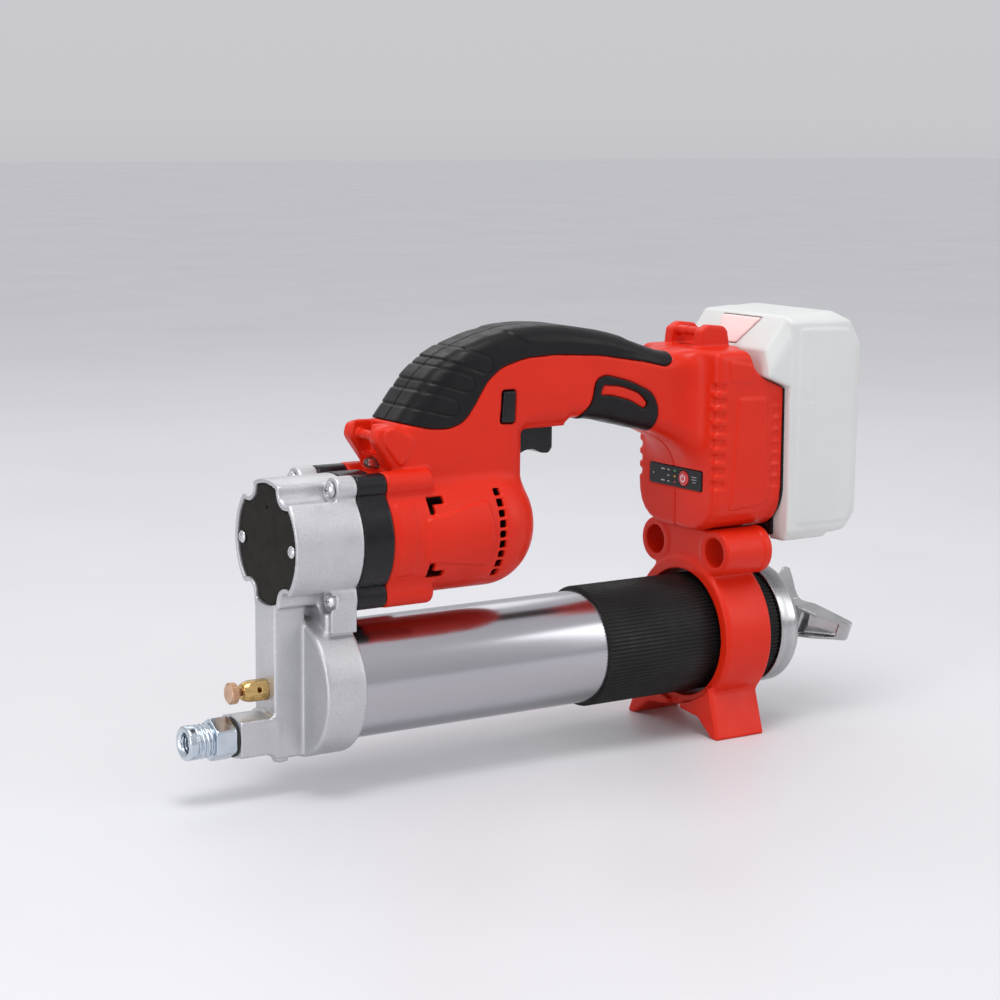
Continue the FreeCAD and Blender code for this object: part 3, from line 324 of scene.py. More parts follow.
def make_mesh(name, points, faces, sharp=None):
    """Smooth mesh with its faces outward; edges steeper than sharp degrees stay sharp."""
    mesh = bpy.data.meshes.new(name)
    mesh.from_pydata(points, [], faces)
    mesh.validate()
    places = np.empty(len(mesh.vertices) * 3)
    mesh.vertices.foreach_get("co", places)
    places = places.reshape(-1, 3)
    mesh.calc_loop_triangles()
    corners = np.empty(len(mesh.loop_triangles) * 3, dtype=np.int32)
    mesh.loop_triangles.foreach_get("vertices", corners)
    a, b, c = (places[corners.reshape(-1, 3)[:, i]] for i in range(3))
    if np.sum(a * np.cross(b, c)) < 0:
        mesh.flip_normals()
    mesh.shade_smooth()
    if sharp:
        mesh.set_sharp_from_angle(angle=math.radians(sharp))
    return mesh


def both(a, b, k=0.0):
    """Space inside a and b, with the edge between them rounded over k mm."""
    if not k:
        return np.maximum(a, b)
    h = np.clip(0.5 + 0.5 * (a - b) / k, 0, 1)
    return b + (a - b) * h + k * h * (1 - h)


def either(a, b, k=0.0):
    """Space inside a or b, with the corner between them filled over k mm."""
    return -both(-a, -b, k)


def less(a, b, k=0.0):
    """Space inside a but not b."""
    return both(a, -b, k)


def outline(u, v, points):
    """Distance to a closed outline in the plane of u and v, negative inside."""
    shape = np.broadcast(u, v).shape
    nearest = np.full(shape, 1e9)
    inside = np.zeros(shape, dtype=bool)
    for (ax, ay), (bx, by) in zip(points, points[1:] + points[:1]):
        ex, ey = bx - ax, by - ay
        length = ex * ex + ey * ey
        if length < 1e-12:
            continue
        wx, wy = u - ax, v - ay
        t = np.clip((wx * ex + wy * ey) / length, 0, 1)
        nearest = np.minimum(nearest, (wx - ex * t) ** 2 + (wy - ey * t) ** 2)
        if ay != by:
            inside ^= ((ay > v) != (by > v)) & (u < ex * (v - ay) / ey + ax)
    return np.where(inside, -1, 1) * np.sqrt(nearest)


def rounded(corners, radius=3.0, steps=6):
    """Closed outline with its corners rounded; a corner may give its own radius: (u, v, radius)."""
    points = []
    for i, corner in enumerate(corners):
        here = Vector(corner[:2])
        size = corner[2] if len(corner) > 2 else radius
        before = Vector(corners[i - 1][:2]) - here
        after = Vector(corners[(i + 1) % len(corners)][:2]) - here
        half_angle = before.angle(after, 1.0) / 2
        reach = min(size / max(math.tan(half_angle), 1e-3), before.length * 0.49, after.length * 0.49)
        if size < 0.05 or reach < 0.02:
            points.append(tuple(here))
            continue
        start, end = here + before.normalized() * reach, here + after.normalized() * reach
        for step in range(steps + 1):
            t = step / steps
            points.append(tuple(start * (1 - t) ** 2 + here * 2 * t * (1 - t) + end * t * t))
    return points


def prism(flat, across, low, high, r=1.0):
    """A flat shape carried from low to high along another axis, its edges rounded by r."""
    return rounded_join(flat, np.abs(across - (low + high) / 2) - (high - low) / 2, r)


def rod(u, v, centre, radius, across, low, high, r=0.6):
    """Round bar across the plane of u and v."""
    return prism(np.hypot(u - centre[0], v - centre[1]) - radius, across, low, high, r)


def block(f, low, high, r=1.0):
    """Box with rounded edges."""
    sides = [np.abs(axis - (a + b) / 2) - (b - a) / 2 + r for axis, a, b in zip((f.x, f.y, f.z), low, high)]
    outer = np.sqrt(sum(np.maximum(side, 0) ** 2 for side in sides))
    return outer + np.minimum(np.maximum(np.maximum(*sides[:2]), sides[2]), 0) - r


def rounded_join(a, b, r):
    """Space inside a and b, with a round of radius r between them."""
    a, b = a + r, b + r
    return np.minimum(np.maximum(a, b), 0) + np.hypot(np.maximum(a, 0), np.maximum(b, 0)) - r


def at_corners(y, z):
    """Distances to the axes of the four gearbox screws."""
    return [np.hypot(y - sy, z - MOTOR_Z - sz) for sy, sz in SCREW_CORNERS]


def hexagon(y, z, half, first=0):
    """Hexagon of half its width across flats, its first flat turned by first degrees."""
    flats = [math.radians(60 * k + first) for k in range(3)]
    return np.maximum.reduce([np.abs(y * math.cos(a) + z * math.sin(a)) - half for a in flats])


def raised(flat, height, edge=0.6):
    """Height of a pad over a flat outline, with a sloping edge."""
    return height * np.clip(0.5 - flat / edge, 0, 1)


# ---------------------------------------------------------------- adding pieces

def add(name, mesh, body, nodes=(), finish=None, slot=None):
    """Adds a piece that rides on a body and stands for the CAD nodes."""
    piece = bpy.data.objects.new(name, mesh)
    bpy.context.scene.collection.objects.link(piece)
    slot = slot or SLOTS[nodes[0]]
    mesh.materials.append(finish or FINISHES[slot])
    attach(piece, body)
    if nodes:
        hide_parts(*nodes)
    return piece


def lathe(name, profile, y=0.0, z=0.0, segments=144, sharp=30, radius_at=None):
    """Turned mesh about a line along X; profile is a closed outline of (x, radius)."""
    count = len(profile)
    points, faces = [], []
    for s in range(segments):
        angle = 2 * math.pi * s / segments
        for x, radius in profile:
            r = radius_at(radius, s) if radius_at else radius
            points.append((x * MM, (y + r * math.cos(angle)) * MM, (z + r * math.sin(angle)) * MM))
    for s in range(segments):
        t = (s + 1) % segments
        for i in range(count):
            j = (i + 1) % count
            if profile[i][1] < 1e-6 and profile[j][1] < 1e-6:
                continue
            faces.append((s * count + i, s * count + j, t * count + j, t * count + i))
    return make_mesh(name, points, faces, sharp)


# ---------------------------------------------------------------- moulded body

HANDLE = [(110, 108, 0), (110, 173, 0), (85, 172.6, 3), (77.2, 182, 20), (68.6, 193, 30), (59.1, 201.1, 40),
          (47.8, 206.8, 40), (33.5, 211.6, 60), (19.1, 214.3, 60), (4.4, 215.2, 90), (-10.5, 214.2, 90),
          (-28.7, 211.3, 90), (-41, 208.7, 90), (-56.7, 203.4, 90), (-70, 198.6, 30), (-90, 198, 30),
          (-120, 198, 0), (-120, 142, 0), (-92, 147, 12), (-64.2, 159.7, 60), (-48.4, 163.3, 60),
          (-36, 166.6, 60), (-23.7, 168.6, 20), (-14.8, 168.6, 1.2), (-10.6, 165.6, 1.2), (12.2, 165.3, 1),
          (14.3, 163.4, 1), (14.3, 108, 0)]
BOX_SECTION = [(-33, 200, 7), (-33, 106, 22), (33, 106, 22), (33, 200, 7)]
BOX_SLOPE = [(-108.5, 206, 0), (-114.6, 190.6, 5), (-119.4, 185.3, 5), (-137, 178.1, 0), (-140, 206, 0)]
ROOF = [(-46, 207.6, 10), (-57, 203.8, 30), (-70, 200.2, 12), (-92, 200.2, 0), (-150, 200.2, 0),
        (-150, 260, 0), (-46, 260, 0)]
FRONT_EAR = [(80, 150, 2), (88.3, 150.6, 2), (98.6, 165.0, 5), (97.2, 171.4, 5), (90, 172.3, 4), (80, 171, 2)]
REAR_EAR = [(-113, 196, 1), (-111, 208, 3), (-108.5, 210.5, 3), (-99, 211.5, 3), (-93.5, 208.5, 3),
            (-92, 196, 1)]
# each strap eye has two ears (outline, inner side, outer side, rounding) and a bar (place, reach)
STRAP_EARS = [(FRONT_EAR, 8, 16, 1.8), (REAR_EAR, 9, 15, 1.0)]
STRAP_BARS = [((93, 166.2), 9), ((-98, 207.5), 10)]
STRAP_BAR_R = 2.4
STRAP_SLOT = (86.5, -8, 157), (120, 8, 180)
TOP_GRIP = [(97, 178, 0), (93.6, 175.3, 1), (82.5, 172.4, 20), (70, 169.6, 30), (60, 168.8, 20),
            (50.6, 171.4, 20), (44.5, 179.4, 40), (37.5, 190.4, 20), (29.5, 196.6, 20), (15.7, 200.5, 40),
            (-2.2, 201.3, 60), (-29.2, 199.6, 60), (-57, 195, 30), (-70.5, 191.8, 4), (-75.5, 195.5, 4),
            (-74, 203, 0), (-50, 240, 0), (97, 240, 0)]
CREST = [(34, 240, 0), (29, 216.5, 6), (20.5, 211.7, 10), (13.3, 207.5, 8), (5, 205.4, 10), (-10, 205.6, 40),
         (-31, 204.2, 60), (-52, 199.4, 60), (-80, 191, 0), (-80, 240, 0)]
FINGER_PADS = [((62.5, 207), (38.8, 198.4), 3.9), ((76, 197.6), (49.2, 190), 3.9),
               ((86.5, 186.3), (58.3, 179.2), 4.1)]
LOWER_GRIP = [(-19, 160, 0), (-19.3, 170.1, 6), (-24.4, 176.5, 16), (-26.6, 187.6, 5), (-32.5, 189.8, 6),
              (-47.4, 185.9, 30), (-60.9, 179.8, 12), (-65.5, 171.8, 12), (-63.6, 160, 8), (-62, 150, 0),
              (-19, 150, 0)]
RED_ARC = [(-29.2, 180, 1), (-31, 184.8, 2), (-41.8, 183.6, 20), (-53.3, 179.6, 14), (-58.3, 174.2, 2),
           (-56.3, 171.6, 1.5), (-47.6, 176.4, 20), (-36.2, 179.6, 20)]
TRIGGER_BOSS = [(-10.6, 165.5), (14.3, 165.3), (14.3, 180), (-10.6, 180)]
MOTOR_PANEL = [(78.4, 128.6, 2), (43.2, 135, 2), (41.2, 120, 30), (43.2, 103.2, 2), (78.4, 108.4, 2)]
FRONT_PANEL = [(94, 136.5, 1), (84.2, 136.5, 1), (84.2, 102.4, 1), (94, 102.4, 1)]
SIDE_PANEL = [(-104.3, 175, 1.5), (-122.6, 174.7, 1.5), (-125.2, 119.6, 6), (-100.3, 118.1, 1.5)]
UPPER_PANEL = [(-98, 194.7, 1.5), (-113.5, 191.5, 1.5), (-114.2, 182.7, 1.5), (-99.3, 184.1, 1.5)]
PLATES = [(MOTOR_PANEL, 1.3), (FRONT_PANEL, 0.6), (SIDE_PANEL, 0.7), (UPPER_PANEL, 0.5)]
TEARDROP = [(94.5, 170.5, 3), (89, 171.4, 3), (77.2, 165, 3), (85.1, 151.4, 3), (94, 163, 4)]
BUTTON_SLOT = [(21.6, 169.2, 0.8), (21, 185.4, 0.8), (28.6, 185.4, 0.8), (29.8, 169.6, 0.8)]
SQUARE_VENTS = [(36.0, 98.5 + 4.9 * i) for i in range(9)]
ELL_VENTS = [[(76, 138), (66.5, 138), (66.5, 134.7), (72.6, 134.7), (72.6, 130.4), (76, 130.4)],
             [(76, 99.8), (76, 107.2), (72.6, 107.2), (72.6, 103), (66.5, 103), (66.5, 99.8)]]
SCREW_WELLS = [(70, 157, 15), (24, 157, 15), (-28, 184, 15), (-60, 177, 15), (-99, 124, 21.5),
               (-99, 187, 21.5)]


def tooth_wave(z, low, high, pitch, gap):
    """One inside the evenly spaced notches between two heights, nought outside."""
    phase = np.mod(z - low, pitch)
    wave = np.clip((gap / 2 - np.abs(phase - pitch / 2)) / 0.8 + 0.5, 0, 1)
    return np.where((z > low) & (z < high), wave, 0)


def body_envelope(f):
    """Outer surface of the moulding before the grips' seats and the openings are cut."""
    x, y, z = f.x, f.y, f.z
    side = np.abs(y)
    handle = prism(outline(x, z, rounded(HANDLE)), y, -HANDLE_HALF, HANDLE_HALF, 8.5)
    # the neck's front leans back and narrows below the strap eye
    lean = 0.848 * (x - 88.5) - 0.53 * (z - 151)
    taper = 0.49 * (x - 90) + 0.87 * (side - 13.5)
    neck = both(both(handle, np.maximum(lean, x - NECK_FRONT), 1.0), taper, 2.0)
    motor = rounded_join(np.hypot(y, z - MOTOR_Z) - MOTOR_SHELL_R, MOTOR_SHELL_END - x, 25.0)
    box = prism(outline(y, z, rounded(BOX_SECTION)), x, -145, -90.5, 3.5)
    box = both(less(box, outline(x, z, rounded(BOX_SLOPE)), 1.5), BOX_REAR - x, 1.0)
    boss = prism(outline(x, z, TRIGGER_BOSS), y, -14, 14, 1.5)
    shape = either(either(either(neck, motor, 3.5), boss, 0.8), box, 16)
    shape = less(shape, outline(x, z, rounded(ROOF)), 3)
    # low relief on the motor housing and on the box's sides
    plates = sum(raised(outline(x, z, rounded(panel)), height) for panel, height in PLATES)
    notches = 1.2 * tooth_wave(z, 128, 185, 7.1, 3.6) * np.where((x > -96.5) & (x < -86), 1, 0)
    notches = notches + 0.6 * tooth_wave(z, 128, 176, 6.0, 4.2) * np.where((x < -127) & (x > -131.8), 1, 0)
    shape = shape + np.where(side > 28.5, notches, 0) - np.where(side > 12, plates, 0)
    lobes = FAR
    for sy, sz in SCREW_CORNERS:
        lobes = np.minimum(lobes, rod(y, z, (sy, MOTOR_Z + sz), LOBE_R, x, 71, 99, 2.0))
    shape = either(shape, lobes, 2.5)
    shape = both(shape, x - NECK_FRONT, 0.6)
    for points, low, high, edge in STRAP_EARS:
        shape = either(shape, prism(outline(x, z, rounded(points)), side, low, high, edge), 0.8)
    shape = less(shape, block(f, *STRAP_SLOT, 1.0), 0.4)
    for bar, reach in STRAP_BARS:
        shape = either(shape, rod(x, z, bar, STRAP_BAR_R, y, -reach, reach, 0.1), 0.4)
    drop = prism(outline(x, z, rounded(TEARDROP)), side, 12, 17.8, 0.8)
    return either(shape, drop, 0.8)


def motor_bore(f):
    """Open front of the motor housing, where the gearbox goes in."""
    return np.maximum(np.hypot(f.y, f.z - MOTOR_Z) - 27.5, 60 - f.x)


def grip_seat(f):
    """Flat regions covered by the top grip and by the lower grip."""
    top = outline(f.x, f.z, rounded(TOP_GRIP))
    low = outline(f.x, f.z, rounded(LOWER_GRIP))
    arc = outline(f.x, f.z, rounded(RED_ARC))
    return top, less(low, arc - 0.1), arc


def add_housings():
    for name, turn in (("left_housing", 1), ("right_housing", -1)):
        low, high = sorted((-1.0 * turn, 35.0 * turn))
        f = Field((-133.8, low, 87), (102, high, 217), 0.75)
        x, y, z = f.x, f.y, f.z
        side = np.abs(y)
        outer = body_envelope(f)
        top, low_seat, arc = grip_seat(f)
        shell = both(outer, -(outer + WALL))
        shell = less(shell, motor_bore(f))
        shell = less(shell, both(top - 0.1, -(outer + TOP_SEAT_DEPTH)), 0.3)
        shell = less(shell, both(low_seat - 0.1, -(outer + LOWER_SEAT_DEPTH)), 0.3)
        vents = FAR
        for vx, vz in SQUARE_VENTS:
            vents = np.minimum(vents, np.maximum(np.abs(x - vx) - 1.9, np.abs(z - vz) - 1.75))
        for ell in ELL_VENTS:
            vents = np.minimum(vents, outline(x, z, rounded(ell, 0.5)))
        shell = less(shell, np.maximum(vents, 12 - side), 0.3)
        shell = less(shell, block(f, (-8.9, -7.4, 150), (13.7, 7.4, 171), 0.5))
        slot = outline(x, z, rounded(BUTTON_SLOT))
        shell = less(shell, np.maximum(slot - 0.25, 100 - z), 0.3)
        shell = less(shell, rod(y, z, (0, LIGHT_Z), 3.1, x, 80, 99, 0.1), 0.2)
        window = np.maximum(np.maximum(side - 21.9, np.abs(z - PANEL_Z) - 5.5), np.maximum(-91.6 - x, x + 80))
        shell = less(shell, window, 0.2)
        if turn < 0:
            for sx, sz, seat in SCREW_WELLS:
                well = rod(x, z, (sx, sz), 3.2, y, -40, -seat, 0.1)
                wall = both(rod(x, z, (sx, sz), 4.6, y, -40, -seat + 2, 0.1), outer)
                shell = less(either(shell, wall), well, 0.3)
        shell = both(shell, -turn * y + 0.05, 0.4)
        add(name, f.mesh(name, shell), "frame", (name,))


def grip_height(f):
    """How far the top grip stands out: the crest along the handle and the raised finger pads."""
    x, z = f.x, f.z
    height = 0.3 + raised(outline(x, z, rounded(CREST)), 0.45, 1.6)
    for start, end, radius in FINGER_PADS:
        ax, az = end[0] - start[0], end[1] - start[1]
        t = np.clip(((x - start[0]) * ax + (z - start[1]) * az) / (ax * ax + az * az), 0, 1)
        pad = np.hypot(x - start[0] - t * ax, z - start[1] - t * az) - radius
        height = height + raised(pad, 0.35, 0.7) - 0.6 * np.exp(-((pad - 0.1) / 0.5) ** 2)
    return height


def add_grips():
    for name, turn in (("left", 1), ("right", -1)):
        low, high = sorted((-1.0 * turn, 20.0 * turn))
        for part, corners, step, wall, edge in (
                ("top_grip_", ((-77, low, 166), (96, high, 218)), 0.5, 1.6, 0.9),
                ("lower_grip_", ((-68, low, 156), (-17, high, 192)), 0.5, 1.1, 0.8)):
            f = Field(*corners, step)
            outer = body_envelope(f)
            top, lower, _ = grip_seat(f)
            height, seat = (grip_height(f), top) if part == "top_grip_" else (0.75, lower)
            d = both(outer - height, -(outer + wall))
            d = both(d, seat + 0.12, edge)
            d = both(d, -turn * f.y + 0.05, 0.6)
            add(part + name, f.mesh(part + name, d), "frame", (part + name,))


# ---------------------------------------------------------------- pump casting and gear case

BOSS_SECTION = [(-10, -8.5), (0, -10.3), (10, -8.5), (10, 8.4), (0, 10.3), (-10, 8.4)]


def add_pump_head():
    f = Field((112, -35, 13), (168, 35, 151), 0.7)
    x, y, z = f.x, f.y, f.z
    side = np.abs(y)
    from_motor = np.hypot(y, z - MOTOR_Z)
    case = prism(from_motor - CASE_R, x, CASE_REAR, CASE_FRONT, 0.7)
    socket = rod(y, z, (0, BARREL_Z), 33.7, x, CASE_REAR, 134.3, 1.6)
    pump = block(f, (133, -10, 18.4), (149.5, 10, 95), 1.6)
    pump = either(pump, rod(x, y, (141, 0), 4.5, z, 14.5, 20, 1.6), 1.2)
    shape = either(case, socket, 2.0)
    shape = either(shape, pump, 1.6)
    for sy, sz in SCREW_CORNERS:
        shape = either(shape, rod(y, z, (sy, MOTOR_Z + sz), 6, x, CASE_REAR, SCREW_SEAT, 0.8), 1.6)
    web = block(f, (113.5, -20, 77), (128, 20, 97), 1.0)
    strut = prism(np.maximum(np.abs(x - 119.9) - 6.8, np.abs(z - 87.7) - 10), side, 13, 23.5, 0.8)
    shape = either(either(shape, web, 1.4), strut, 1.2)
    section = outline(y, z - OUTLET_Z, rounded(BOSS_SECTION, 1.4))
    shape = either(shape, prism(section, x, 147, 167, 0.5), 1.0)
    shape = either(shape, np.maximum(prism(section - 0.9, x, 146, 151, 0.8), side - 10), 0.5)
    screws = at_corners(y, z)
    for screw in screws:
        shape = less(shape, np.maximum(screw - 5.6, SCREW_SEAT - x), 1.6)
    recess = from_motor - 28.5
    for screw in screws:
        recess = less(recess, screw - 7.9, 1.2)
    shape = less(shape, np.maximum(recess, 145 - x), 0.4)
    shape = less(shape, np.maximum(from_motor - 23.6, x - 133.2))
    shape = less(shape, from_motor - 20.5)
    for screw in screws:
        shape = less(shape, screw - SCREW_HOLE)
    for place in (COVER_SCREW_Y, -COVER_SCREW_Y):
        shape = less(shape, np.maximum(np.hypot(y - place, z - MOTOR_Z) - 1.3, 137 - x))
    shape = less(shape, np.maximum(np.hypot(y, z - BARREL_Z) - BARREL_BORE_R, x - 128))
    shape = less(shape, rod(y, z, (0, OUTLET_Z), 6.6, x, 156, 180, 0.1))
    shape = less(shape, np.maximum(np.hypot(x - PLUNGER_X, y) - 4.1, z - 104))
    shape = less(shape, rod(y, z, (0, BLEEDER_Z), BLEEDER_R, x, PLUNGER_X, 152, 0.1))
    add("pump_head", f.mesh("pump_head", shape), "frame", ("pump_head",))


def add_gear_case_parts():
    f = Field((144, -30, 89), (148, 30, 149), 0.5)
    x, y, z = f.x, f.y, f.z
    disc = np.hypot(y, z - MOTOR_Z) - 28.3
    for screw in at_corners(y, z):
        disc = less(disc, screw - 8.1, 1.2)
    cover = prism(disc, x, 145.1, 147.4, 0.5)
    cover = less(cover, np.maximum(np.hypot(y, z - MOTOR_Z - 17.5) - 0.7, 146.4 - x))
    for place in (COVER_SCREW_Y, -COVER_SCREW_Y):
        cover = less(cover, np.hypot(y - place, z - MOTOR_Z) - 1.3)
    add("gear_case_cover", f.mesh("gear_case_cover", cover), "frame", ("gear_case_cover",))
    f = Field((97, -33, 86), (113, 33, 152), 0.5)
    x, y, z = f.x, f.y, f.z
    ring = np.hypot(y, z - MOTOR_Z) - 31
    screws = at_corners(y, z)
    for screw in screws:
        ring = either(ring, screw - 6.0, 1.0)
    ring = prism(ring, x, 97.1, 112.9, 0.5)
    ring = less(ring, np.hypot(y, z - MOTOR_Z) - 26)
    for screw in screws:
        ring = less(ring, screw - SCREW_HOLE)
    add("gearbox_ring", f.mesh("gearbox_ring", ring), "frame", ("gearbox_ring",))


def pan_head(f, seat, centre, radius, height, shank):
    """Pan-head screw along X with a crossed recess; the head starts at seat."""
    x, y, z = f.x, f.y - centre[0], f.z - centre[1]
    dome = np.sqrt(((x - seat) / height) ** 2 + (y * y + z * z) / radius ** 2 + 1e-9)
    head = np.maximum((dome - 1) * height, seat - x)
    head = either(head, rod(y, z, (0, 0), radius, x, seat, seat + height * 0.45, 0.3), 0.3)
    cross = np.minimum(np.maximum(np.abs(y) - 0.42, np.abs(z) - radius * 0.55),
                       np.maximum(np.abs(z) - 0.42, np.abs(y) - radius * 0.55))
    head = less(head, np.maximum(cross, seat + height * 0.35 - x), 0.15)
    return either(head, rod(y, z, (0, 0), shank[0], x, seat - shank[1], seat + 0.3, 0.1))


def add_screws():
    corners = [(sy, MOTOR_Z + sz) for sy, sz in SCREW_CORNERS]
    sides = [(COVER_SCREW_Y, MOTOR_Z), (-COVER_SCREW_Y, MOTOR_Z)]
    for node, seat, centres, radius, height, shank in (
            ("gearbox_screws", SCREW_SEAT, corners, 3.9, 2.9, (2.0, 8)),
            ("cover_screws", 147.5, sides, 2.9, 1.9, (1.2, 4))):
        points, faces = [], []
        for centre in centres:
            f = Field((seat - shank[1] - 0.5, centre[0] - radius - 0.5, centre[1] - radius - 0.5),
                      (seat + height + 0.5, centre[0] + radius + 0.5, centre[1] + radius + 0.5), 0.22)
            mesh = f.mesh("part", pan_head(f, seat, centre, radius, height, shank))
            base = len(points)
            points += [tuple(v.co) for v in mesh.vertices]
            faces += [tuple(i + base for i in p.vertices) for p in mesh.polygons]
            bpy.data.meshes.remove(mesh)
        add(node, make_mesh(node, points, faces), "frame", (node,))


# ---------------------------------------------------------------- outlet and bleeder

THREAD_END = 191.9
OUTER_PITCH, INNER_PITCH = 2.3, 1.5


def add_outlet():
    f = Field((159, -11, OUTLET_Z - 11), (193, 11, OUTLET_Z + 11), 0.4)
    x, y, z = f.x, f.y, f.z - OUTLET_Z
    radius = np.hypot(y, z)
    nut = prism(hexagon(y, z, 9.0), x, 168.3, 179, 0.3)
    nut = both(nut, radius + 0.55 * np.abs(x - 173.6) - 12.6, 0.3)
    shape = either(nut, np.maximum(radius - 7.0, np.maximum(165 - x, x - 185)), 0.4)
    shape = either(shape, np.maximum(radius - 6.4, np.maximum(160 - x, x - 170)))
    angle = np.arctan2(z, y) / (2 * math.pi)
    crest = np.where(x < 187.6, 7.6 + 0.6 * np.cos(2 * math.pi * ((x - 182) / OUTER_PITCH - angle)), 8.2)
    thread = np.maximum((radius - crest) * 0.75, np.maximum(180 - x, x - THREAD_END))
    thread = both(thread, radius + (x - THREAD_END) - 7.5, 0.6)
    shape = either(shape, thread, 0.4)
    inner = 4.4 + 0.5 * np.abs(np.mod((x - 182) / INNER_PITCH - angle, 1.0) - 0.5) * 2
    shape = less(shape, np.maximum((radius - inner) * 0.8, 178 - x), 0.2)
    shape = less(shape, np.maximum(radius + (THREAD_END - x) - 6.0, 186 - x), 0.2)
    shape = less(shape, np.maximum(radius - 2.5, x - 179))
    shape = less(shape, np.maximum(radius - 4.95, x - 171))
    add("outlet_coupler", f.mesh("outlet_coupler", shape), "frame", ("outlet_coupler",))
    seal = rounded([(167.02, 6.6), (167.02, 9.5), (168.28, 9.5), (168.28, 6.6)], 0.3)
    add("coupler_seal", lathe("coupler_seal", seal, 0, OUTLET_Z), "frame", ("coupler_seal",))
    f = Field((144, -7, BLEEDER_Z - 7), (163, 7, BLEEDER_Z + 7), 0.3)
    x, y, z = f.x, f.y, f.z - BLEEDER_Z
    radius = np.hypot(y, z)
    swell = 5.3 - 1.9 * np.clip((x - 156.5) / 6, 0, 1) ** 2
    barrel = np.maximum(radius - swell, np.maximum(149.55 - x, x - 161.9))
    body = both(barrel, hexagon(y, z, 4.85, 30), 0.25)
    body = either(body, np.maximum(radius - 3.0, np.maximum(144.6 - x, x - 152)))
    body = less(body, np.maximum(np.hypot(x - 154.5, z - 1.0) - 1.2, -y), 0.15)
    body = less(body, radius - 1.6)
    add("bleeder_body", f.mesh("bleeder_body", body), "frame", ("bleeder_body",))

    def knurl(radius, s):
        return radius - (0.35 if s % 4 in (0, 1) and radius > 4.6 else 0.0)

    knob = [(146, 0), (168.6, 0), (168.6, 4.2), (168.4, 4.5), (168.0, 5.1), (165.2, 5.1), (164.8, 4.55),
            (164.0, 2.2), (162.4, 1.5), (146, 1.5)]
    mesh = lathe("bleeder_knob", knob, 0, BLEEDER_Z, 112, 25, knurl)
    add("bleeder_knob", mesh, "bleeder_knob", ("bleeder_knob",))


# ---------------------------------------------------------------- barrel, cap and T-handle

def add_barrel():
    tube = rounded([(-149.8, 27.2, 0.2), (-149.8, TUBE_R, 0.2), (127, TUBE_R, 0.2), (127, 27.2, 0.2)], 0.2, 3)
    add("barrel_tube", lathe("barrel_tube", tube, 0, BARREL_Z, 192), "barrel", ("barrel_tube",))
    ribs = 96
    levels = [0.0, 0.85, 0.85, 0.0]

    def ribbed(radius, s):
        return radius - (0.0 if radius < 29 else levels[s % len(levels)] * 0.75)

    ends = [(-137.7, 28.52), (-137.7, 30.0), (-137.3, 30.7), (-29.4, 30.7), (-29, 30.1), (-29, 28.52)]
    mesh = lathe("barrel_sleeve", ends, 0, BARREL_Z, ribs * len(levels), 50, ribbed)
    add("barrel_sleeve", mesh, "barrel", ("barrel_sleeve",))
    cap = rounded([(CAP_REAR, 7.02, 0.1), (-149.9, 7.02, 0.1), (-149.9, 28.55, 0.1), (-138, 28.55, 0.1),
                   (-138, CAP_R, 0.5), (-149.6, CAP_R, 4.5), (-152.6, 27, 3), (CAP_REAR, 22, 1)], 0.5)
    add("end_cap", lathe("end_cap", cap, 0, BARREL_Z, 160), "barrel", ("end_cap",))


HANDLE_TILT = -22
ARM = [(-161, 0, 0), (-162.5, 9, 8), (-170.5, 20, 14), (-181.2, 27.2, 2), (-185, 30.7, 2.2),
       (-188.6, 28.5, 2.2), (-183, 19, 14), (-176, 8, 6), (-174, 0, 0)]
ARM_HOLLOW = [(-150, 13, 0), (-172, 13, 2), (-178.6, 19.5, 6), (-184, 26.2, 1.5), (-150, 26.2, 0)]


def add_t_handle():
    f = Field((-192, -36, BARREL_Z - 20), (-157, 36, BARREL_Z + 29), 0.5)
    tilt = math.radians(HANDLE_TILT)
    x = f.x
    y = f.y * math.cos(tilt) + (f.z - BARREL_Z) * math.sin(tilt)
    z = -f.y * math.sin(tilt) + (f.z - BARREL_Z) * math.cos(tilt)
    radius = np.hypot(y, z)
    hub = np.maximum(radius - 7.6 - 0.08 * (-168 - x), np.maximum(-177.5 - x, x + 160.5))
    hub = both(hub, radius - 8, 1.5)
    side = np.abs(y)
    # the arms start close behind the cap and sweep back; tall at the root, tapering outwards
    step = np.clip(side / 10, 0, 1)
    z = z - (2.6 + 0.13 * side) * step * step * (3 - 2 * step)
    arms = both(outline(x, side, rounded(ARM)), np.abs(z) - 11.4 + 0.2 * side, 1.6)
    hollow = outline(x, side, rounded(ARM_HOLLOW))
    arms = less(arms, both(hollow, np.abs(z) - 9.6 + 0.2 * side, 1.5), 0.8)
    shape = either(hub, arms, 2.5)
    shape = less(shape, np.maximum(np.hypot(f.y, f.z - BARREL_Z) - 4.0, -175 - x))
    add("t_handle", f.mesh("t_handle", shape), "follower", ("t_handle",))


# ---------------------------------------------------------------- bracket

FOOT = [(33, 0, 1.5), (38.6, 0, 1.0), (28.8, 24, 0), (20, 34, 0), (4, 14, 0), (5.5, 10.4, 3), (20.7, 8.8, 5)]


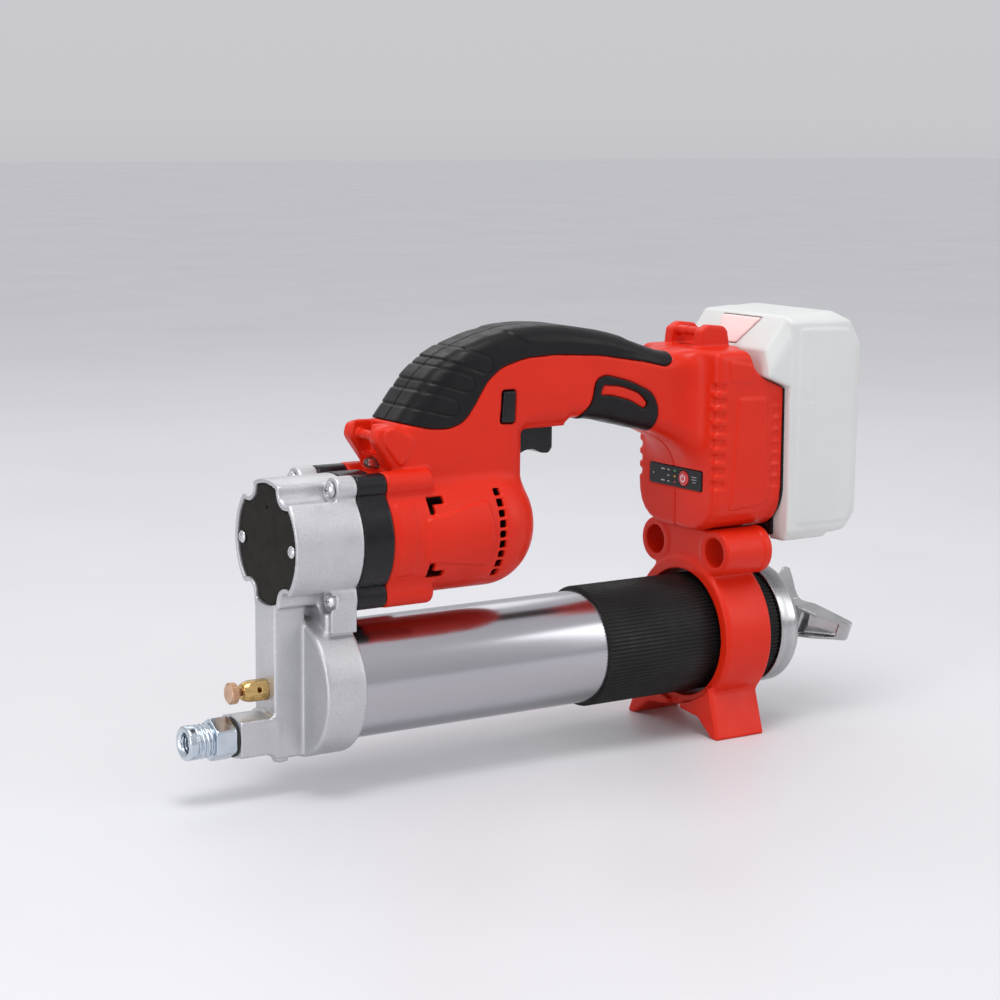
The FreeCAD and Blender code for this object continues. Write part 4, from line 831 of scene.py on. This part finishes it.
def add_bracket():
    f = Field((-128, -43, -1), (-91, 43, 109), 0.7)
    x, y, z = f.x, f.y, f.z
    side = np.abs(y)
    from_barrel = np.hypot(y, z - BARREL_Z)
    ring = prism(from_barrel - 39.85, x, -124.6, -95.7, 1.4)
    ring = both(ring, from_barrel + 0.7 * (x + 95.7) - 38.6, 0.6)
    web = prism(np.maximum(side - 24, np.maximum(82 - z, z - 106.3)), x, -122, -97.5, 1.4)
    shape = either(ring, web, 3.0)
    foot = prism(outline(side, z, rounded(FOOT)), x - 0.07 * np.clip(30 - z, 0, 30), -124, -93, 1.2)
    shape = either(shape, both(foot, 36.8 - from_barrel, 0.2), 1.6)
    stores = [np.hypot(y - centre, z - STORE_Z) for centre in (STORE_Y, -STORE_Y)]
    for from_store in stores:
        store = prism(from_store - 11.7, x, -121.5, -97, 1.0)
        store = either(store, prism(from_store - 12.3, x, -126.1, -121.0, 1.0), 0.5)
        shape = either(shape, store, 1.6)
    shape = less(shape, from_barrel - CLAMP_R, 0.5)
    for from_store in stores:
        shape = less(shape, from_store - 7.6, 0.5)
    shape = both(shape, -z)
    for centre in (8, -8):
        bore = np.hypot(x + 110, y - centre)
        shape = less(shape, np.minimum(np.maximum(bore - 3.6, z - 92), bore - 1.7))
    add("clamp_bracket", f.mesh("clamp_bracket", shape), "frame", ("clamp_bracket",))


# ---------------------------------------------------------------- springs

def coil(name, place, axis, radius, wire, length, turns):
    """Helical spring of round wire, from place along axis."""
    angle = np.linspace(0, 2 * math.pi * turns, 28 * turns + 1)[:, None]
    around = np.linspace(0, 2 * math.pi, 10, endpoint=False)[None, :]
    reach = radius + wire * np.cos(around)
    along = wire + (length - 2 * wire) * angle / angle[-1] + wire * np.sin(around)
    first, second, up = {"x": (1, 2, 0), "z": (0, 1, 2)}[axis]
    points = np.zeros(along.shape + (3,))
    points[..., first] = reach * np.cos(angle)
    points[..., second] = reach * np.sin(angle)
    points[..., up] = along
    rows, columns = along.shape
    points = (points.reshape(-1, 3) + place) * MM
    faces = [(r * columns + c, r * columns + (c + 1) % columns, (r + 1) * columns + (c + 1) % columns,
              (r + 1) * columns + c) for r in range(rows - 1) for c in range(columns)]
    faces += [tuple(range(columns))[::-1], tuple(range((rows - 1) * columns, rows * columns))]
    return make_mesh(name, points.tolist(), faces)


def add_springs():
    """The trigger spring and the follower spring, each with a mesh of its own."""
    piece = add("trigger_spring", coil("trigger_spring", (2, 0, 172.5), "z", 3, 0.35, 7.4, 6), "frame",
                ("trigger_spring",))
    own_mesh(piece)
    piece = add("follower_spring", coil("follower_spring", (-148, 0, BARREL_Z), "x", 21, 1.2, 250.6, 24),
                "barrel", ("follower_spring",))
    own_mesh(piece)


# ---------------------------------------------------------------- controls

TRIGGER = [(-8.3, 171, 0), (-8.3, 154, 2), (-6.2, 151.3, 2), (-2.5, 151.6, 3), (3, 154, 6), (7.5, 153.6, 6),
           (12.9, 151.4, 2.6), (13.3, 171, 0)]


def add_controls():
    f = Field((-9, -8, 151), (14, 8, 172), 0.4)
    d = prism(outline(f.x, f.z, rounded(TRIGGER)), f.y, -7, 7, 1.6)
    add("trigger", f.mesh("trigger", d), "trigger", ("trigger",))
    f = Field((20, -16, 169), (31, 20, 186), 0.4)
    d = prism(outline(f.x, f.z, rounded(BUTTON_SLOT)) + 0.45, f.y, -15, 18.3, 0.7)
    add("lock_button", f.mesh("lock_button", d), "lock_button", ("lock_button",))
    # the lens takes the clear_lens finish, whose pinkish-red tint is a painted reflection of the red housing
    lens = [(84, 0), (95.7, 0), (95.6, 0.8), (95.1, 1.6), (94.3, 2.25), (93.4, 2.6), (84, 2.6)]
    add("work_light", lathe("work_light", lens, 0, LIGHT_Z, 48, 40), "frame", ("work_light",))


# ---------------------------------------------------------------- display panel

# plain marks on the panel: Y, height over its middle, width and height
DASHES = [(-10.2, 3.0, 2.6, 0.5), (-10.2, -3.0, 2.6, 0.5), (-5.6, 3.0, 1.6, 0.45), (-5.6, 0.0, 1.6, 0.45),
          (-5.6, -3.0, 1.6, 0.45), (15.8, 1.6, 3.4, 0.3), (15.8, 0.2, 3.4, 0.3), (15.8, -1.2, 2.2, 0.3),
          (-18.2, 0.0, 0.7, 0.7)]


def add_panel():
    f = Field((-92, -23, 126), (-89, 23, 139), 0.35)
    x, y, z = f.x, f.y, f.z
    plate = prism(outline(y, z, rounded([(-21.7, PANEL_Z - 5.3), (21.7, PANEL_Z - 5.3), (21.7, PANEL_Z + 5.3),
                                         (-21.7, PANEL_Z + 5.3)], 1.0)), x, -91.45, -90.2, 0.25)
    plate = less(plate, np.hypot(y - BUTTON_Y, z - PANEL_Z) - 4.2, 0.2)
    for dz in (3.0, 0.0, -3.0):
        plate = less(plate, np.maximum(np.hypot(y - LED_Y, z - PANEL_Z - dz) - 0.8, -90.6 - x))
    add("label_panel", f.mesh("label_panel", plate), "frame", ("label_panel",))
    marks = make_finish("panel_marks", grey(0.35), grey(0.48), rough=0.4, patch=200, bump=0.03)
    f = Field((-90.6, -20, 127), (-89.7, 20, 138), 0.2)
    shape = FAR
    for py, pz, wide, high in DASHES:
        dash = np.maximum(np.abs(f.y - py) - wide / 1.6, np.abs(f.z - PANEL_Z - pz) - high * 0.8)
        shape = np.minimum(shape, dash)
    shape = prism(shape, f.x, -90.35, -90.02, 0.1)
    add("panel_marks", f.mesh("panel_marks", shape), "frame", finish=marks, slot="inner_plastic")
    for name, dz, colour in (("green", 3.0, (0.05, 0.5, 0.12)), ("yellow", 0.0, (0.75, 0.5, 0.03)),
                             ("red", -3.0, (0.7, 0.03, 0.02))):
        dark = tuple(c * 0.7 for c in colour)
        finish = make_finish("led_" + name, dark, colour, rough=0.2, patch=400, bump=0.02, coat=0.5)
        dome = [(-91, 0), (-90.0, 0), (-90.05, 0.35), (-90.3, 0.62), (-91, 0.7)]
        mesh = lathe("led_" + name, dome, LED_Y, PANEL_Z + dz, 24, 50)
        add("led_" + name, mesh, "frame", finish=finish, slot="red_button")
    button = rounded([(-91.7, 0, 0), (-89.6, 0, 0), (-89.6, 2.9, 0.3), (-89.9, 3.2, 0.3), (-89.9, 3.9, 0.5),
                      (-91.7, 3.9, 0)], 0.2)
    mesh = lathe("mode_button", button, BUTTON_Y, PANEL_Z, 64, 40)
    add("mode_button", mesh, "mode_button", ("mode_button",))
    f = Field((-89.8, BUTTON_Y - 3, PANEL_Z - 3), (-89.2, BUTTON_Y + 3, PANEL_Z + 3), 0.12)
    y, z = f.y - BUTTON_Y, f.z - PANEL_Z
    ring = np.abs(np.hypot(y, z) - 1.7) - 0.28
    ring = less(ring, np.maximum(np.abs(y) - 0.75, -z))
    mark = np.minimum(ring, np.maximum(np.abs(y) - 0.25, np.abs(z - 1.4) - 1.0))
    white = make_finish("button_mark", grey(0.7), grey(0.8), rough=0.4, patch=300, bump=0.03)
    add("button_mark", f.mesh("button_mark", prism(mark, f.x, -89.72, -89.45, 0.08)), "mode_button",
        finish=white, slot="red_button")


# ---------------------------------------------------------------- battery

PACK_SECTION = [(-37.5, 104.5, 5), (-34, 98.8, 4), (34, 98.8, 4), (37.5, 104.5, 5), (37.5, 212.6, 2.5),
                (30, 218, 4), (-30, 218, 4), (-37.5, 212.6, 2.5)]
PACK_PROFILE = [(-135.3, 98.8, 1), (-163, 98.8, 0.8), (-163.4, 101.4, 0.8), (-174, 102.4, 4), (-181, 112, 4),
                (-182, 200, 5), (-174.5, 212.6, 5), (-167, 217.6, 5), (-134, 215.4, 2)]
HUMP = [(-150, 172, 0), (-137, 178.9, 0), (-120.5, 185.5, 1), (-121, 199, 2.5), (-133.5, 215.4, 2),
        (-150, 216.5, 0)]
PACK_RIM = [(-140, 108), (-175, 108), (-178, 116), (-178.5, 198), (-172, 208.5), (-140, 209.5)]
PACK_BUTTON = [(-7.2, 200.8), (7.2, 200.8), (15.6, 213.8), (-15.6, 213.8)]


def add_battery():
    f = Field((-182.5, -38.5, 98), (-119.5, 38.5, 218.5), 0.75)
    x, y, z = f.x, f.y, f.z
    side = np.abs(y)
    section = outline(y, z, rounded(PACK_SECTION))
    case = both(section, outline(x, z, rounded(PACK_PROFILE)), 2.0)
    bevel = 0.417 * (x + 120.6) + 0.846 * (side - 37.5) + 0.331 * (z - 187)
    hump = both(prism(outline(x, z, rounded(HUMP)), y, -37.5, 37.5, 1.5), bevel, 1.5)
    case = either(case, both(hump, section, 1.0), 1.0)
    rim = outline(x, z, rounded(PACK_RIM, 3))
    case = case - np.where(side > 30, raised(rim, 0.5, 0.9), 0)
    inside = np.maximum(case + 2.2, x + 149)
    case = less(case, np.maximum(np.maximum(side - 22.4, z - 178.4), -139.5 - x), 0.5)
    case = less(case, np.maximum(np.maximum(side - 12, z - 153), -146 - x), 0.4)
    case = less(case, inside)
    case = less(case, np.maximum(outline(y, z, PACK_BUTTON) - 0.3, -139 - x), 0.4)
    add("battery_case", f.mesh("battery_case", case), "battery", ("battery_case",))
    f = Field((-137, -17, 200), (-120, 17, 217), 0.4)
    slope = (f.x + 121) * 0.815 + (f.z - 199) * 0.579
    shape = both(prism(outline(f.y, f.z, rounded(PACK_BUTTON, 1.2)), f.x, -136, -100, 0.6), slope - 0.4, 0.8)
    add("battery_button", f.mesh("battery_button", shape), "battery_button", ("battery_button",))


# ---------------------------------------------------------------- all of it

for build in (add_camera, add_studio, add_floor, add_housings, add_grips, add_pump_head,
              add_gear_case_parts, add_screws, add_outlet, add_barrel, add_t_handle, add_bracket,
              add_springs, add_controls, add_panel, add_battery):
    build()
for node, piece in frame["nodes"].items():
    piece.data.materials.clear()
    piece.data.materials.append(FINISHES[SLOTS[node]])
